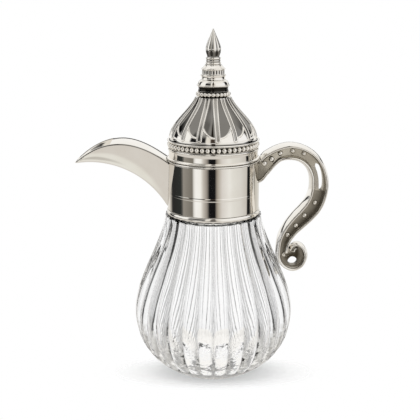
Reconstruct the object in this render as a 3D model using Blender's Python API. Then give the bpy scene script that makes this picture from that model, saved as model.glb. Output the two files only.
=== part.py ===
"""A covered pouring jug: a ribbed pear-shaped glass body, a polished metal collar with a beak
spout and a scroll handle, and a lift-off domed lid with a turned finial.

The origin is the centre of the glass foot. +Z is up, the spout points to -X, the handle to +X.
"""

import math

import bmesh
import bpy
from mathutils import Vector

MM = 0.001
FULL_TURN = 2.0 * math.pi
SMOOTH_ANGLE = math.radians(35.0)
SAME_POINT = 0.001 * MM

# Clearances
GAP = 0.3 * MM
PLUG_CLEARANCE = 0.7 * MM
SEAL_CLEARANCE = 0.3 * MM
LID_CLEARANCE = 0.5 * MM
CUT_OVERRUN = 6.0 * MM

# Glass body
FOOT_RADIUS = 29.7 * MM
FOOT_FLARE_OUT = 20.6 * MM
FOOT_FLARE_UP = 9.0 * MM
BELLY_RADIUS = 69.4 * MM
BELLY_HEIGHT = 57.0 * MM
BELLY_FULLNESS_BELOW = 33.0 * MM
BELLY_FULLNESS_ABOVE = 27.2 * MM
SHOULDER_STEP = 2.1 * MM
SHOULDER_HEIGHT = 143.8 * MM
SHOULDER_LEAN = 3.3 * MM
SHOULDER_RISE = 27.7 * MM
NECK_HEIGHT = 17.2 * MM
NECK_WALL = 4.0 * MM
NECK_BAND_WALL = 3.1 * MM
GLASS_WALL = 5.0 * MM
GLASS_FLOOR = 12.0 * MM
FLOOR_CORNER = 7.0 * MM
RIB_COUNT = 32
RIB_DEPTH = 1.8 * MM
RIB_SIDES = 4
BELLY_ROWS = 6
CAVITY_SIDES = 40

# Collar on the neck
COLLAR_RADIUS = 39.4 * MM
COLLAR_WALL = 1.2 * MM
COLLAR_HEIGHT = 41.2 * MM
COLLAR_SWAGE_PROUD = 0.2 * MM
COLLAR_SWAGE_WIDTH = 1.6 * MM
BASE_RING_HEIGHT = 4.3 * MM
BASE_RING_PROUD = 1.0 * MM
RIM_RING_HEIGHT = 1.2 * MM
RIM_RING_PROUD = 0.4 * MM
SEAL_THICKNESS = 2.0 * MM
LINER_WALL = 1.6 * MM
LINER_SHELF = 1.6 * MM
RING_SIDES = 36

# Spout
SPOUT_LENGTH = 78.8 * MM
SPOUT_TIP_DROP = 1.4 * MM
SPOUT_WALL = 1.2 * MM
SPOUT_ROOT_HALF_WIDTH = 13.2 * MM
SPOUT_MOUTH_HALF_WIDTH = 18.2 * MM
SPOUT_TIP_ROUND = 9.0 * MM
SPOUT_TIP_NARROWING = 0.5 * MM
SPOUT_SWELL_SHARE = 0.65
SPOUT_KEEL_FULLNESS = 2.6
RIM_ROOT_INSIDE = 3.0 * MM
RIM_ROOT_DROP = 0.5 * MM
RIM_START_OUT = 29.1 * MM
RIM_START_UP = 21.0 * MM
RIM_END_BACK = 29.0 * MM
RIM_END_UP = 26.7 * MM
KEEL_START_OUT = 10.6 * MM
KEEL_START_UP = 18.8 * MM
KEEL_END_BACK = 43.4 * MM
KEEL_END_UP = 4.7 * MM
SPOUT_LIP = 0.4 * MM
COVER_LENGTH = 46.6 * MM
COVER_THICKNESS = 1.0 * MM
COVER_CROWN = 3.4 * MM
WINDOW_HALF_WIDTH = 10.0 * MM
WINDOW_SILL = 1.5 * MM
WINDOW_HEAD = 6.4 * MM
SPOUT_CURVE_STEPS = 60
SPOUT_SLOPE_STEP = 0.5 * MM
SPOUT_STATION_CROWDING = 1.6
SPOUT_STATIONS = 20
SPOUT_SIDES = 12
COVER_SIDES = 6

# Handle: its centre line in the XZ plane, out from the collar's side and up from its top,
# with the depth of the bar there
HANDLE_WIDTH = 21.0 * MM
HANDLE_CROWN = 1.3 * MM
HANDLE_RIM = 2.2 * MM
HANDLE_RECESS = 2.0 * MM
HANDLE_EDGE = 0.6 * MM
HANDLE_CROWN_SHARE = 0.75
HANDLE_RIM_SHARE = 0.6
HANDLE_END_ROWS = 4
HANDLE_LINE_MM = (
    (-6.4, -8.3, 19.4), (0.1, -7.9, 19.2), (4.4, -3.3, 15.4), (9.4, 2.0, 12.8),
    (16.6, 6.5, 11.4), (25.9, 8.3, 12.2), (35.8, 6.3, 12.2), (44.2, 0.5, 12.8),
    (49.6, -8.5, 13.4), (51.5, -19.3, 14.2), (50.4, -29.5, 14.0), (46.8, -38.4, 14.0),
    (41.0, -45.9, 13.6), (34.2, -52.9, 12.9), (27.7, -60.4, 11.3), (22.9, -69.0, 9.9),
    (21.1, -78.1, 8.8), (21.6, -85.1, 9.2), (24.7, -90.4, 8.4), (30.0, -93.1, 7.8),
    (35.4, -90.8, 8.6), (38.2, -84.5, 8.6), (37.0, -78.6, 6.8), (33.9, -76.0, 4.8),
    (31.2, -77.1, 4.4), (30.1, -79.5, 4.8),
)
HANDLE_STEPS = 2
HANDLE_ROOT_BLEND = 11.0 * MM
HANDLE_GLASS_GAP = 0.4 * MM
SLOT_STATIONS = (7, 9)
SLOT_OFFSET = 1.4 * MM
SLOT_WIDTH = 3.4 * MM
SCREW_PLACE = 0.25
SCREW_DROP = 5.4 * MM
SCREW_RADIUS = 1.5 * MM
SCREW_REACH = 7.0 * MM
SCREW_HEAD_RADIUS = 2.5 * MM
SCREW_HEAD_SINK = 0.1 * MM
SCREW_SIDES = 16

# Lid
LID_FOOT_HEIGHT = 2.2 * MM
LID_FOOT_PROUD = 0.4 * MM
SKIRT_INSET = 1.4 * MM
SKIRT_HEIGHT = 8.6 * MM
SKIRT_WALL = 1.2 * MM
SKIRT_SHELF = 1.3 * MM
SKIRT_SHELF_DEPTH = 5.0 * MM
SKIRT_TOP_RING = 1.2 * MM
SKIRT_TOP_PROUD = 0.8 * MM
PLUG_DEPTH = 7.7 * MM
PLUG_WALL = 2.2 * MM
PLUG_FLOOR = 2.0 * MM
PLUG_BOSS_RADIUS = 5.5 * MM
LID_SEAL_HEIGHT = 2.0 * MM
LID_SEAL_BITE = 1.2 * MM
LID_SEAL_DROP = 2.9 * MM
BEAD_BAND_HEIGHT = 5.4 * MM
BEAD_BAND_PROUD = 1.3 * MM
BEAD_COUNT = 52
BEAD_DEPTH = 1.1 * MM
BEAD_SIDES = 2
DOME_RING_HEIGHT = 1.2 * MM
DOME_INSET = 1.5 * MM
DOME_HEIGHT = 35.2 * MM
DOME_TOP_RADIUS = 15.2 * MM
DOME_SIDE_RISE = 12.9 * MM
DOME_TOP_LEAN = 5.3 * MM
DOME_TOP_SWEEP = 11.7 * MM
DOME_WALL = 2.2 * MM
DOME_PANELS = 14
DOME_PANEL_DEPTH = 0.8 * MM
DOME_PANEL_FOOT = 3.0 * MM
DOME_PANEL_SIDES = 4
DOME_RIB_WIDTH = 0.1
DOME_ROWS = 8

# Finial and the stud through it
STUD_RADIUS = 2.0 * MM
STUD_TAIL = 5.0 * MM
STUD_IN_BUD = 6.0 * MM
WASHER_RADIUS = 5.0 * MM
WASHER_THICKNESS = 1.0 * MM
NUT_RADIUS = 4.0 * MM
NUT_HEIGHT = 3.0 * MM
NUT_SIDES = 6
FINIAL_SIDES = 20
FINIAL_BEAD_RADIUS = 15.0 * MM
FINIAL_BEAD_HEIGHT = 4.4 * MM
FINIAL_BEAD_COUNT = 24
FINIAL_BEAD_DEPTH = 0.9 * MM
CUP_RADIUS = 13.8 * MM
CUP_BAND = 3.8 * MM
CUP_HEIGHT = 9.0 * MM
CUP_TOP_RADIUS = 10.7 * MM
SPOOL_HEIGHT = 4.1 * MM
SPOOL_RADIUS = 10.1 * MM
SPOOL_LIP_RADIUS = 10.8 * MM
SPOOL_LIP = 1.2 * MM
CROWN_RADIUS = 9.4 * MM
CROWN_LIP_RADIUS = 10.2 * MM
CROWN_BAND = 3.8 * MM
CROWN_LIP = 1.2 * MM
CROWN_TOP_RADIUS = 7.1 * MM
CROWN_HEIGHT = 7.7 * MM
CROWN_FLUTES = 12
CROWN_FLUTE_DEPTH = 0.6 * MM
RINGS_HEIGHT = 6.1 * MM
RINGS_LOWER_RADIUS = 6.7 * MM
RINGS_WAIST_RADIUS = 5.7 * MM
RINGS_UPPER_RADIUS = 6.3 * MM
BUD_HEIGHT = 22.7 * MM
BUD_FOOT_RADIUS = 5.0 * MM
BUD_RADIUS = 6.4 * MM
BUD_WIDEST = 5.6 * MM
BUD_FULLNESS = 4.6 * MM
BUD_POINT_LENGTH = 7.0 * MM
BUD_POINT_RADIUS = 3.0 * MM
BUD_TIP_RADIUS = 0.5 * MM

# Heights worked out from the stack of pieces
NECK_TOP = SHOULDER_HEIGHT + NECK_HEIGHT
BASE_RING_FOOT = SHOULDER_HEIGHT + GAP
COLLAR_FOOT = BASE_RING_FOOT + BASE_RING_HEIGHT + GAP
COLLAR_TOP = COLLAR_FOOT + COLLAR_HEIGHT
RIM_RING_FOOT = COLLAR_TOP + GAP
RIM_RING_TOP = RIM_RING_FOOT + RIM_RING_HEIGHT
SEAL_FOOT = NECK_TOP + GAP
LINER_FOOT = SEAL_FOOT + SEAL_THICKNESS + GAP
LINER_FLOOR = LINER_FOOT + LINER_SHELF
LID_FOOT = RIM_RING_TOP + GAP
SKIRT_TOP = LID_FOOT + SKIRT_HEIGHT
SHELF_TOP = SKIRT_TOP + SKIRT_TOP_RING
BEAD_BAND_FOOT = SHELF_TOP + GAP
DOME_RING_FOOT = BEAD_BAND_FOOT + BEAD_BAND_HEIGHT + GAP
DOME_FOOT = DOME_RING_FOOT + DOME_RING_HEIGHT + GAP
DOME_TOP = DOME_FOOT + DOME_HEIGHT
FINIAL_BEAD_FOOT = DOME_TOP + GAP
CUP_FOOT = FINIAL_BEAD_FOOT + FINIAL_BEAD_HEIGHT + GAP
SPOOL_FOOT = CUP_FOOT + CUP_HEIGHT + GAP
CROWN_FOOT = SPOOL_FOOT + SPOOL_HEIGHT + GAP
RINGS_FOOT = CROWN_FOOT + CROWN_HEIGHT + GAP
BUD_FOOT = RINGS_FOOT + RINGS_HEIGHT + GAP
PLUG_FOOT = LID_FOOT - PLUG_DEPTH
WASHER_FOOT = PLUG_FOOT - GAP - WASHER_THICKNESS
NUT_FOOT = WASHER_FOOT - GAP - NUT_HEIGHT

# Radii worked out from the pieces that meet there
COLLAR_BORE = COLLAR_RADIUS - COLLAR_WALL
LINER_RADIUS = COLLAR_BORE - GAP
LINER_BORE = LINER_RADIUS - LINER_WALL
NECK_RADIUS = LINER_RADIUS - NECK_BAND_WALL - GAP
NECK_BORE = NECK_RADIUS - NECK_WALL
SHOULDER_RADIUS = COLLAR_RADIUS + SHOULDER_STEP
SPOUT_REACH = COLLAR_RADIUS + SPOUT_LENGTH
SCREW_HEAD_HEIGHT = LINER_WALL - SCREW_HEAD_SINK
SCREW_SPREAD = math.asin(SCREW_PLACE * HANDLE_WIDTH / COLLAR_RADIUS)
SKIRT_RADIUS = COLLAR_RADIUS - SKIRT_INSET
SKIRT_SHELF_RADIUS = SKIRT_RADIUS - SKIRT_SHELF_DEPTH
BEAD_BAND_RADIUS = SKIRT_RADIUS + BEAD_BAND_PROUD
DOME_RADIUS = BEAD_BAND_RADIUS - DOME_INSET
PLUG_RADIUS = LINER_BORE - PLUG_CLEARANCE
PLUG_SHOULDER_RADIUS = SKIRT_RADIUS - SKIRT_WALL - GAP
STUD_BORE = STUD_RADIUS + GAP


def clear_scene():
    for item in list(bpy.data.objects):
        bpy.data.objects.remove(item, do_unlink=True)


def make_material(name, colour, roughness, metallic, transmission=0.0):
    material = bpy.data.materials.new(name)
    material.use_nodes = True
    shader = material.node_tree.nodes["Principled BSDF"]
    shader.inputs["Base Color"].default_value = (*colour, 1.0)
    shader.inputs["Roughness"].default_value = roughness
    shader.inputs["Metallic"].default_value = metallic
    shader.inputs["Transmission Weight"].default_value = transmission
    return material


def make_object(name, bm, material):
    """Turn a bmesh into a named object with outward faces and smooth round surfaces."""
    bmesh.ops.recalc_face_normals(bm, faces=bm.faces)
    mesh = bpy.data.meshes.new(name)
    bm.to_mesh(mesh)
    bm.free()
    mesh.shade_smooth()
    mesh.set_sharp_from_angle(angle=SMOOTH_ANGLE)
    mesh.materials.append(material)
    item = bpy.data.objects.new(name, mesh)
    bpy.context.scene.collection.objects.link(item)
    return item


def turned(name, profile, sides, material, relief=None):
    """Spin a profile of (radius, height) about Z. A profile off the axis is closed to a ring."""
    bm = bmesh.new()
    points = [bm.verts.new((radius, 0.0, height)) for radius, height in profile]
    edges = [bm.edges.new(pair) for pair in zip(points, points[1:])]
    on_axis = profile[0][0] == 0.0 and profile[-1][0] == 0.0
    if not on_axis:
        edges.append(bm.edges.new((points[-1], points[0])))
    bmesh.ops.spin(bm, geom=points + edges, cent=(0.0, 0.0, 0.0), axis=(0.0, 0.0, 1.0),
                   angle=FULL_TURN, steps=sides, use_merge=True)
    bmesh.ops.remove_doubles(bm, verts=bm.verts, dist=SAME_POINT)
    if relief:
        for point in bm.verts:
            shape_point(point, relief)
    return make_object(name, bm, material)


def shape_point(point, relief):
    """Move a point in or out to the radius that the relief gives for it."""
    radius = math.hypot(point.co.x, point.co.y)
    if radius > 0.0:
        wanted = relief(radius, point.co.z, math.atan2(point.co.y, point.co.x))
        point.co.x *= wanted / radius
        point.co.y *= wanted / radius


def lofted(name, loops, material):
    """Join a row of closed loops, each with the same number of points, and cap both ends."""
    bm = bmesh.new()
    rows = [[bm.verts.new(place) for place in loop] for loop in loops]
    count = len(rows[0])
    for near, far in zip(rows, rows[1:]):
        for i in range(count):
            j = (i + 1) % count
            bm.faces.new((near[i], near[j], far[j], far[i]))
    bm.faces.new(rows[0])
    bm.faces.new(rows[-1])
    return make_object(name, bm, material)


def keep_as_tool(item):
    item.hide_render = True
    item.display_type = "WIRE"


def combine(target, tool, operation):
    modifier = target.modifiers.new(tool.name, "BOOLEAN")
    modifier.operation = operation
    modifier.solver = "EXACT"
    modifier.object = tool
    keep_as_tool(tool)


def cut(target, *tools):
    for tool in tools:
        combine(target, tool, "DIFFERENCE")


def bezier(start, start_pull, end_pull, end, steps):
    """Points on one cubic curve, both ends included."""
    points = []
    for step in range(steps + 1):
        t = step / steps
        u = 1.0 - t
        weights = (u ** 3, 3.0 * u * u * t, 3.0 * u * t * t, t ** 3)
        pulls = (start, start_pull, end_pull, end)
        points.append(tuple(sum(w * p[i] for w, p in zip(weights, pulls)) for i in range(2)))
    return points


def half_round(inner, outer, foot, top, steps=3):
    """Outer side of a ring as a flattened half circle, from foot to top."""
    middle = 0.5 * (foot + top)
    half = 0.5 * (top - foot)
    points = []
    for step in range(steps + 1):
        angle = -0.5 * math.pi + math.pi * step / steps
        points.append((inner + (outer - inner) * math.cos(angle), middle + half * math.sin(angle)))
    return points


def smooth_line(points, steps):
    """A smooth line through points of any size, with the ends kept."""
    line = []
    last = len(points) - 1
    for i in range(last):
        before, start, end, after = (points[max(0, min(last, i + k))] for k in (-1, 0, 1, 2))
        for step in range(steps):
            t = step / steps
            line.append(tuple(catmull(t, *values) for values in zip(before, start, end, after)))
    line.append(tuple(points[last]))
    return line


def catmull(t, a, b, c, d):
    return 0.5 * (2.0 * b + (c - a) * t + (2.0 * a - 5.0 * b + 4.0 * c - d) * t * t
                  + (3.0 * b - a - 3.0 * c + d) * t ** 3)


def in_mm(points):
    return [tuple(value * MM for value in point) for point in points]


def ring_cylinder(name, radius, foot, top, material, sides=RING_SIDES):
    return turned(name, [(0.0, foot), (radius, foot), (radius, top), (0.0, top)], sides, material)


# Glass body
def glass_side():
    below = bezier((FOOT_RADIUS, 0.0), (FOOT_RADIUS + FOOT_FLARE_OUT, FOOT_FLARE_UP),
                   (BELLY_RADIUS, BELLY_HEIGHT - BELLY_FULLNESS_BELOW),
                   (BELLY_RADIUS, BELLY_HEIGHT), BELLY_ROWS)
    above = bezier((BELLY_RADIUS, BELLY_HEIGHT),
                   (BELLY_RADIUS, BELLY_HEIGHT + BELLY_FULLNESS_ABOVE),
                   (SHOULDER_RADIUS + SHOULDER_LEAN, SHOULDER_HEIGHT - SHOULDER_RISE),
                   (SHOULDER_RADIUS, SHOULDER_HEIGHT), BELLY_ROWS)
    return below + above[1:]


def rib_relief(radius, height, angle):
    """Convex ribs with narrow grooves, as deep as the local radius allows."""
    if radius < NECK_RADIUS + GAP and height > BELLY_HEIGHT:
        return radius
    groove = 1.0 - abs(math.sin(0.5 * RIB_COUNT * angle))
    return radius - RIB_DEPTH * groove * radius / BELLY_RADIUS


def glass_cavity_side():
    """The inside of the wall, moved square to the outer side by the wall thickness."""
    outer = glass_side()
    inner = []
    for before, here, after in zip(outer, outer[1:], outer[2:]):
        along = Vector((after[0] - before[0], after[1] - before[1])).normalized()
        place = (here[0] - GLASS_WALL * along.y, here[1] + GLASS_WALL * along.x)
        if place[1] > GLASS_FLOOR + FLOOR_CORNER and place[0] > NECK_BORE + GAP:
            inner.append(place)
    return inner


def glass_body(glass):
    outer = [(0.0, 0.0)] + glass_side()
    outer += [(NECK_RADIUS, SHOULDER_HEIGHT), (NECK_RADIUS, NECK_TOP), (0.0, NECK_TOP)]
    body = turned("glass_body", outer, RIB_COUNT * RIB_SIDES, glass, rib_relief)
    side = glass_cavity_side()
    corner = side[0][0] - FLOOR_CORNER
    floor = bezier((corner - FLOOR_CORNER, GLASS_FLOOR), (corner, GLASS_FLOOR),
                   (corner + 0.5 * FLOOR_CORNER, GLASS_FLOOR + 0.3 * FLOOR_CORNER), side[0], 3)
    neck = [(NECK_BORE, SHOULDER_HEIGHT), (NECK_BORE, NECK_TOP + CUT_OVERRUN)]
    cavity = [(0.0, GLASS_FLOOR)] + floor[:-1] + side + neck + [(0.0, NECK_TOP + CUT_OVERRUN)]
    cut(body, turned("glass_cavity", cavity, CAVITY_SIDES, glass))


# Collar and what seals it to the neck
def neck_parts(plastic, silicone):
    band = [(NECK_RADIUS + GAP, SHOULDER_HEIGHT + GAP), (LINER_RADIUS, SHOULDER_HEIGHT + GAP),
            (LINER_RADIUS, NECK_TOP), (NECK_RADIUS + GAP, NECK_TOP)]
    turned("neck_band", band, RING_SIDES, plastic)
    seal = [(NECK_BORE + GAP, SEAL_FOOT), (LINER_RADIUS, SEAL_FOOT),
            (LINER_RADIUS, SEAL_FOOT + SEAL_THICKNESS), (NECK_BORE + GAP, SEAL_FOOT + SEAL_THICKNESS)]
    turned("neck_seal", seal, RING_SIDES, silicone)


def collar_shell(metal):
    swage = LINER_FOOT
    half = 0.5 * COLLAR_SWAGE_WIDTH
    profile = [(COLLAR_BORE, COLLAR_FOOT), (COLLAR_RADIUS, COLLAR_FOOT),
               (COLLAR_RADIUS, swage - half), (COLLAR_RADIUS + COLLAR_SWAGE_PROUD, swage),
               (COLLAR_RADIUS, swage + half), (COLLAR_RADIUS, COLLAR_TOP), (COLLAR_BORE, COLLAR_TOP)]
    return turned("collar_shell", profile, RING_SIDES, metal)


def collar_liner(plastic):
    profile = [(NECK_BORE, LINER_FOOT), (LINER_RADIUS, LINER_FOOT), (LINER_RADIUS, COLLAR_TOP),
               (LINER_BORE, COLLAR_TOP), (LINER_BORE, LINER_FLOOR), (NECK_BORE, LINER_FLOOR)]
    return turned("collar_liner", profile, RING_SIDES, plastic)


def collar_rings(metal):
    base_top = BASE_RING_FOOT + BASE_RING_HEIGHT
    base = half_round(COLLAR_RADIUS, COLLAR_RADIUS + BASE_RING_PROUD, BASE_RING_FOOT, base_top)
    base += [(COLLAR_BORE, base_top), (COLLAR_BORE, BASE_RING_FOOT)]
    turned("collar_base_ring", base, RING_SIDES, metal)
    rim = half_round(COLLAR_RADIUS, COLLAR_RADIUS + RIM_RING_PROUD, RIM_RING_FOOT, RIM_RING_TOP)
    rim += [(LINER_BORE, RIM_RING_TOP), (LINER_BORE, RIM_RING_FOOT)]
    turned("collar_rim_ring", rim, RING_SIDES, metal)


def spout_window(material):
    """The way out of the collar chamber, through the liner and the shell."""
    middle = 0.5 * (LINER_FLOOR + WINDOW_SILL + COLLAR_TOP - WINDOW_HEAD)
    height = COLLAR_TOP - WINDOW_HEAD - LINER_FLOOR - WINDOW_SILL
    bm = bmesh.new()
    bmesh.ops.create_cube(bm, size=1.0)
    bmesh.ops.scale(bm, verts=bm.verts, vec=(2.0 * CUT_OVERRUN, 2.0 * WINDOW_HALF_WIDTH, height))
    bmesh.ops.translate(bm, verts=bm.verts, vec=(-COLLAR_BORE, 0.0, middle))
    return make_object("spout_window", bm, material)


def collar_envelope(material):
    """The room that the collar and the lid's edge take, with their clearances."""
    above = COLLAR_RADIUS + max(RIM_RING_PROUD, LID_FOOT_PROUD) + LID_CLEARANCE
    step = COLLAR_TOP - COVER_THICKNESS
    profile = [(0.0, 0.0), (COLLAR_RADIUS + GAP, 0.0), (COLLAR_RADIUS + GAP, step),
               (above, step), (above, BUD_FOOT), (0.0, BUD_FOOT)]
    return turned("collar_envelope", profile, RING_SIDES, material)


# Spout
def value_at(curve, distance):
    """Second value of a row of pairs, read off at a first value between them."""
    for near, far in zip(curve, curve[1:]):
        if near[0] <= distance <= far[0]:
            share = (distance - near[0]) / (far[0] - near[0])
            return near[1] + share * (far[1] - near[1])
    return curve[0][1] if distance < curve[0][0] else curve[-1][1]


def spout_curves():
    """Rim and keel of the spout seen from the side, as (distance from the axis, height)."""
    tip_height = COLLAR_TOP - SPOUT_TIP_DROP
    rim_start = (COLLAR_RADIUS - RIM_ROOT_INSIDE, COLLAR_TOP - RIM_ROOT_DROP)
    rim = bezier(rim_start, (rim_start[0] + RIM_START_OUT, rim_start[1] + RIM_START_UP),
                 (SPOUT_REACH - RIM_END_BACK, tip_height + RIM_END_UP),
                 (SPOUT_REACH, tip_height + SPOUT_LIP), SPOUT_CURVE_STEPS)
    keel_start = (COLLAR_RADIUS, COLLAR_FOOT + GAP)
    keel = bezier(keel_start, (keel_start[0] + KEEL_START_OUT, keel_start[1] + KEEL_START_UP),
                  (SPOUT_REACH - KEEL_END_BACK, tip_height + KEEL_END_UP),
                  (SPOUT_REACH, tip_height), SPOUT_CURVE_STEPS)
    return rim, keel


def spout_half_width(distance):
    """Half the spout's width, seen from above, with its rounded end."""
    along = max(0.0, distance - COLLAR_RADIUS) / SPOUT_LENGTH
    swell = min(1.0, along / SPOUT_SWELL_SHARE)
    swell = swell * swell * (3.0 - 2.0 * swell)
    width = SPOUT_ROOT_HALF_WIDTH + (SPOUT_MOUTH_HALF_WIDTH - SPOUT_ROOT_HALF_WIDTH) * swell
    width -= SPOUT_TIP_NARROWING * along ** 4
    left = SPOUT_REACH - distance
    if left < SPOUT_TIP_ROUND:
        share = max(0.0, 1.0 - left / SPOUT_TIP_ROUND)
        width *= math.sqrt(1.0 - share * share)
    return width


def spout_stations():
    """Distances from the axis, closer together towards the rounded tip."""
    start = COLLAR_RADIUS - CUT_OVERRUN
    length = SPOUT_REACH - start
    shares = [(1.0 - i / SPOUT_STATIONS) ** SPOUT_STATION_CROWDING for i in range(SPOUT_STATIONS)]
    return [SPOUT_REACH - length * share for share in shares]


def trough_loop(distance, half_width, floor, top):
    """A U-shaped section: flat top, upright walls, round keel."""
    power = 2.0 / SPOUT_KEEL_FULLNESS
    loop = []
    for i in range(SPOUT_SIDES + 1):
        angle = math.pi * i / SPOUT_SIDES
        across = math.copysign(abs(math.cos(angle)) ** power, math.cos(angle))
        down = max(0.0, math.sin(angle)) ** power
        loop.append((-distance, -half_width * across, top - (top - floor) * down))
    return loop


def channel_loop(distance, half_width, floor, top):
    """The same U, with its walls carried straight up past the rim."""
    above = top + CUT_OVERRUN
    walls = trough_loop(distance, half_width, floor, top)
    return [(-distance, -half_width, above)] + walls + [(-distance, half_width, above)]


def slope_factor(curve, distance):
    """How much longer a wall's upright thickness is than its true thickness."""
    rise = value_at(curve, distance + SPOUT_SLOPE_STEP) - value_at(curve, distance - SPOUT_SLOPE_STEP)
    return math.hypot(1.0, rise / (2.0 * SPOUT_SLOPE_STEP))


def spout_trough(metal, envelope):
    rim, keel = spout_curves()
    outer = []
    inner = []
    for distance in spout_stations():
        half = spout_half_width(distance)
        floor = value_at(keel, distance)
        top = value_at(rim, distance)
        outer.append(trough_loop(distance, half, floor, top))
        room = half - SPOUT_WALL
        inner_floor = floor + SPOUT_WALL * slope_factor(keel, distance)
        if room > SPOUT_WALL and top > inner_floor:
            inner.append(channel_loop(distance, room, inner_floor, top))
    trough = lofted("spout_trough", outer, metal)
    inner[0] = [(x + CUT_OVERRUN, y, z) for x, y, z in inner[0]]
    cut(trough, lofted("spout_channel", inner, metal), envelope)


def cover_loop(distance, half_width, edge_height):
    """An arched strip: the top side from edge to edge, then the underside back."""
    shares = [-1.0 + 2.0 * i / COVER_SIDES for i in range(COVER_SIDES + 1)]
    arch = [(share * half_width, edge_height + COVER_CROWN * (1.0 - share * share)) for share in shares]
    upper = [(-distance, y, z) for y, z in arch]
    lower = [(-distance, y, z - COVER_THICKNESS) for y, z in reversed(arch)]
    return upper + lower


def spout_cover(metal, envelope):
    rim, _ = spout_curves()
    front = COLLAR_RADIUS + COVER_LENGTH
    widths = [(distance, spout_half_width(distance)) for distance in spout_stations()]
    loops = []
    for distance in [near for near, _ in widths if near < front] + [front]:
        half = value_at(widths, distance) - SPOUT_WALL - GAP
        loops.append(cover_loop(distance, half, value_at(rim, distance)))
    cut(lofted("spout_cover", loops, metal), envelope)


# Handle
def bar_frames(line):
    """For each point of a line in the XZ plane: the point and the direction across it."""
    frames = []
    last = len(line) - 1
    for i, point in enumerate(line):
        before = line[max(0, i - 1)]
        after = line[min(last, i + 1)]
        along = Vector((after[0] - before[0], after[1] - before[1])).normalized()
        frames.append((point, Vector((-along.y, along.x))))
    return frames


def handle_loop(point, across, recess):
    """An I-shaped section: rounded rims on both faces, a sunk web, crowned outer and inner sides."""
    x, z, depth = point
    half = 0.5 * depth
    side = 0.5 * HANDLE_WIDTH
    rim = min(HANDLE_RIM, HANDLE_RIM_SHARE * half)
    quarter = [(half + HANDLE_CROWN, 0.0), (half + HANDLE_CROWN_SHARE * HANDLE_CROWN, 0.5 * side),
               (half, side - HANDLE_EDGE), (half - HANDLE_EDGE, side),
               (half - rim, side), (half - rim - HANDLE_EDGE * 0.5, side - recess)]
    mirrored = [(-u, v) for u, v in reversed(quarter)]
    near = quarter + mirrored
    far = [(u, -v) for u, v in reversed(near)]
    outline = near + far[1:-1]
    return [(x + u * across[0], v, z + u * across[1]) for u, v in outline]


def glass_radius_at(height):
    """Outside radius of the glass at a height below its shoulder."""
    return value_at([(level, radius) for radius, level in glass_side()], height)


def handle_line():
    """The smooth centre line, leaned so that its scroll stands at its gap from the glass."""
    line = smooth_line(in_mm(HANDLE_LINE_MM), HANDLE_STEPS)
    placed = [(COLLAR_RADIUS + out, COLLAR_TOP + up, depth) for out, up, depth in line]
    gaps = [x - 0.5 * depth - HANDLE_CROWN - glass_radius_at(z)
            for x, z, depth in placed if z < SHOULDER_HEIGHT]
    lean = HANDLE_GLASS_GAP - min(gaps)
    last = len(placed) - 1
    return [(x + lean * min(1.0, 2.0 * i / last), z, depth) for i, (x, z, depth) in enumerate(placed)]


def handle(metal, envelope):
    line = handle_line()
    upright = Vector((0.0, 1.0))
    loops = []
    count = len(line)
    for i, (point, across) in enumerate(bar_frames(line)):
        from_collar = max(0.0, point[0] - COLLAR_RADIUS) / HANDLE_ROOT_BLEND
        turn = min(1.0, from_collar) if i < count // 2 else 1.0
        across = upright.lerp(across, turn).normalized()
        ends = min(1.0, (count - 1 - i) / HANDLE_END_ROWS)
        loops.append(handle_loop(point, across, HANDLE_RECESS * ends))
    bar = lofted("handle", loops, metal)
    cut(bar, envelope, handle_slot(metal))
    return bar


def handle_slot(metal):
    """The long opening in the web, as a cut across the bar beside its centre line."""
    inner = SLOT_OFFSET - 0.5 * SLOT_WIDTH
    outer = SLOT_OFFSET + 0.5 * SLOT_WIDTH
    corners = ((inner, -HANDLE_WIDTH), (inner, HANDLE_WIDTH), (outer, HANDLE_WIDTH), (outer, -HANDLE_WIDTH))
    first, last = (station * HANDLE_STEPS for station in SLOT_STATIONS)
    loops = []
    for (x, z, _), across in bar_frames(handle_line())[first:last + 1]:
        loops.append([(x + u * across[0], v, z + u * across[1]) for u, v in corners])
    return lofted("handle_slot", loops, metal)


def lay_radially(item, angle, height):
    """Turn a piece that was made along Z so that it points out from the axis."""
    item.rotation_euler = (0.0, 0.5 * math.pi, angle)
    item.location = (0.0, 0.0, height)


def screw_hole(angle, height, seat, metal):
    """A stepped hole: the head's seat in the liner and the shell, then the shank's bore."""
    head = SCREW_HEAD_RADIUS + GAP
    bore = SCREW_RADIUS + GAP
    step = seat + 0.5 * GAP
    end = seat + SCREW_REACH + GAP
    profile = [(0.0, seat - CUT_OVERRUN), (head, seat - CUT_OVERRUN), (head, step),
               (bore, step), (bore, end), (0.0, end)]
    tool = turned("screw_hole", profile, SCREW_SIDES, metal)
    lay_radially(tool, angle, height)
    return tool


def handle_screws(metal, pierced):
    """Two screws from inside the collar, their heads sunk in the liner."""
    height = COLLAR_TOP - SCREW_DROP
    seat = COLLAR_BORE - GAP
    profile = [(0.0, seat - SCREW_HEAD_HEIGHT), (SCREW_HEAD_RADIUS, seat - SCREW_HEAD_HEIGHT),
               (SCREW_HEAD_RADIUS, seat), (SCREW_RADIUS, seat),
               (SCREW_RADIUS, seat + SCREW_REACH), (0.0, seat + SCREW_REACH)]
    for name, angle in (("handle_screw_near", -SCREW_SPREAD), ("handle_screw_far", SCREW_SPREAD)):
        lay_radially(turned(name, profile, SCREW_SIDES, metal), angle, height)
        for piece in pierced:
            cut(piece, screw_hole(angle, height, seat, metal))


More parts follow.
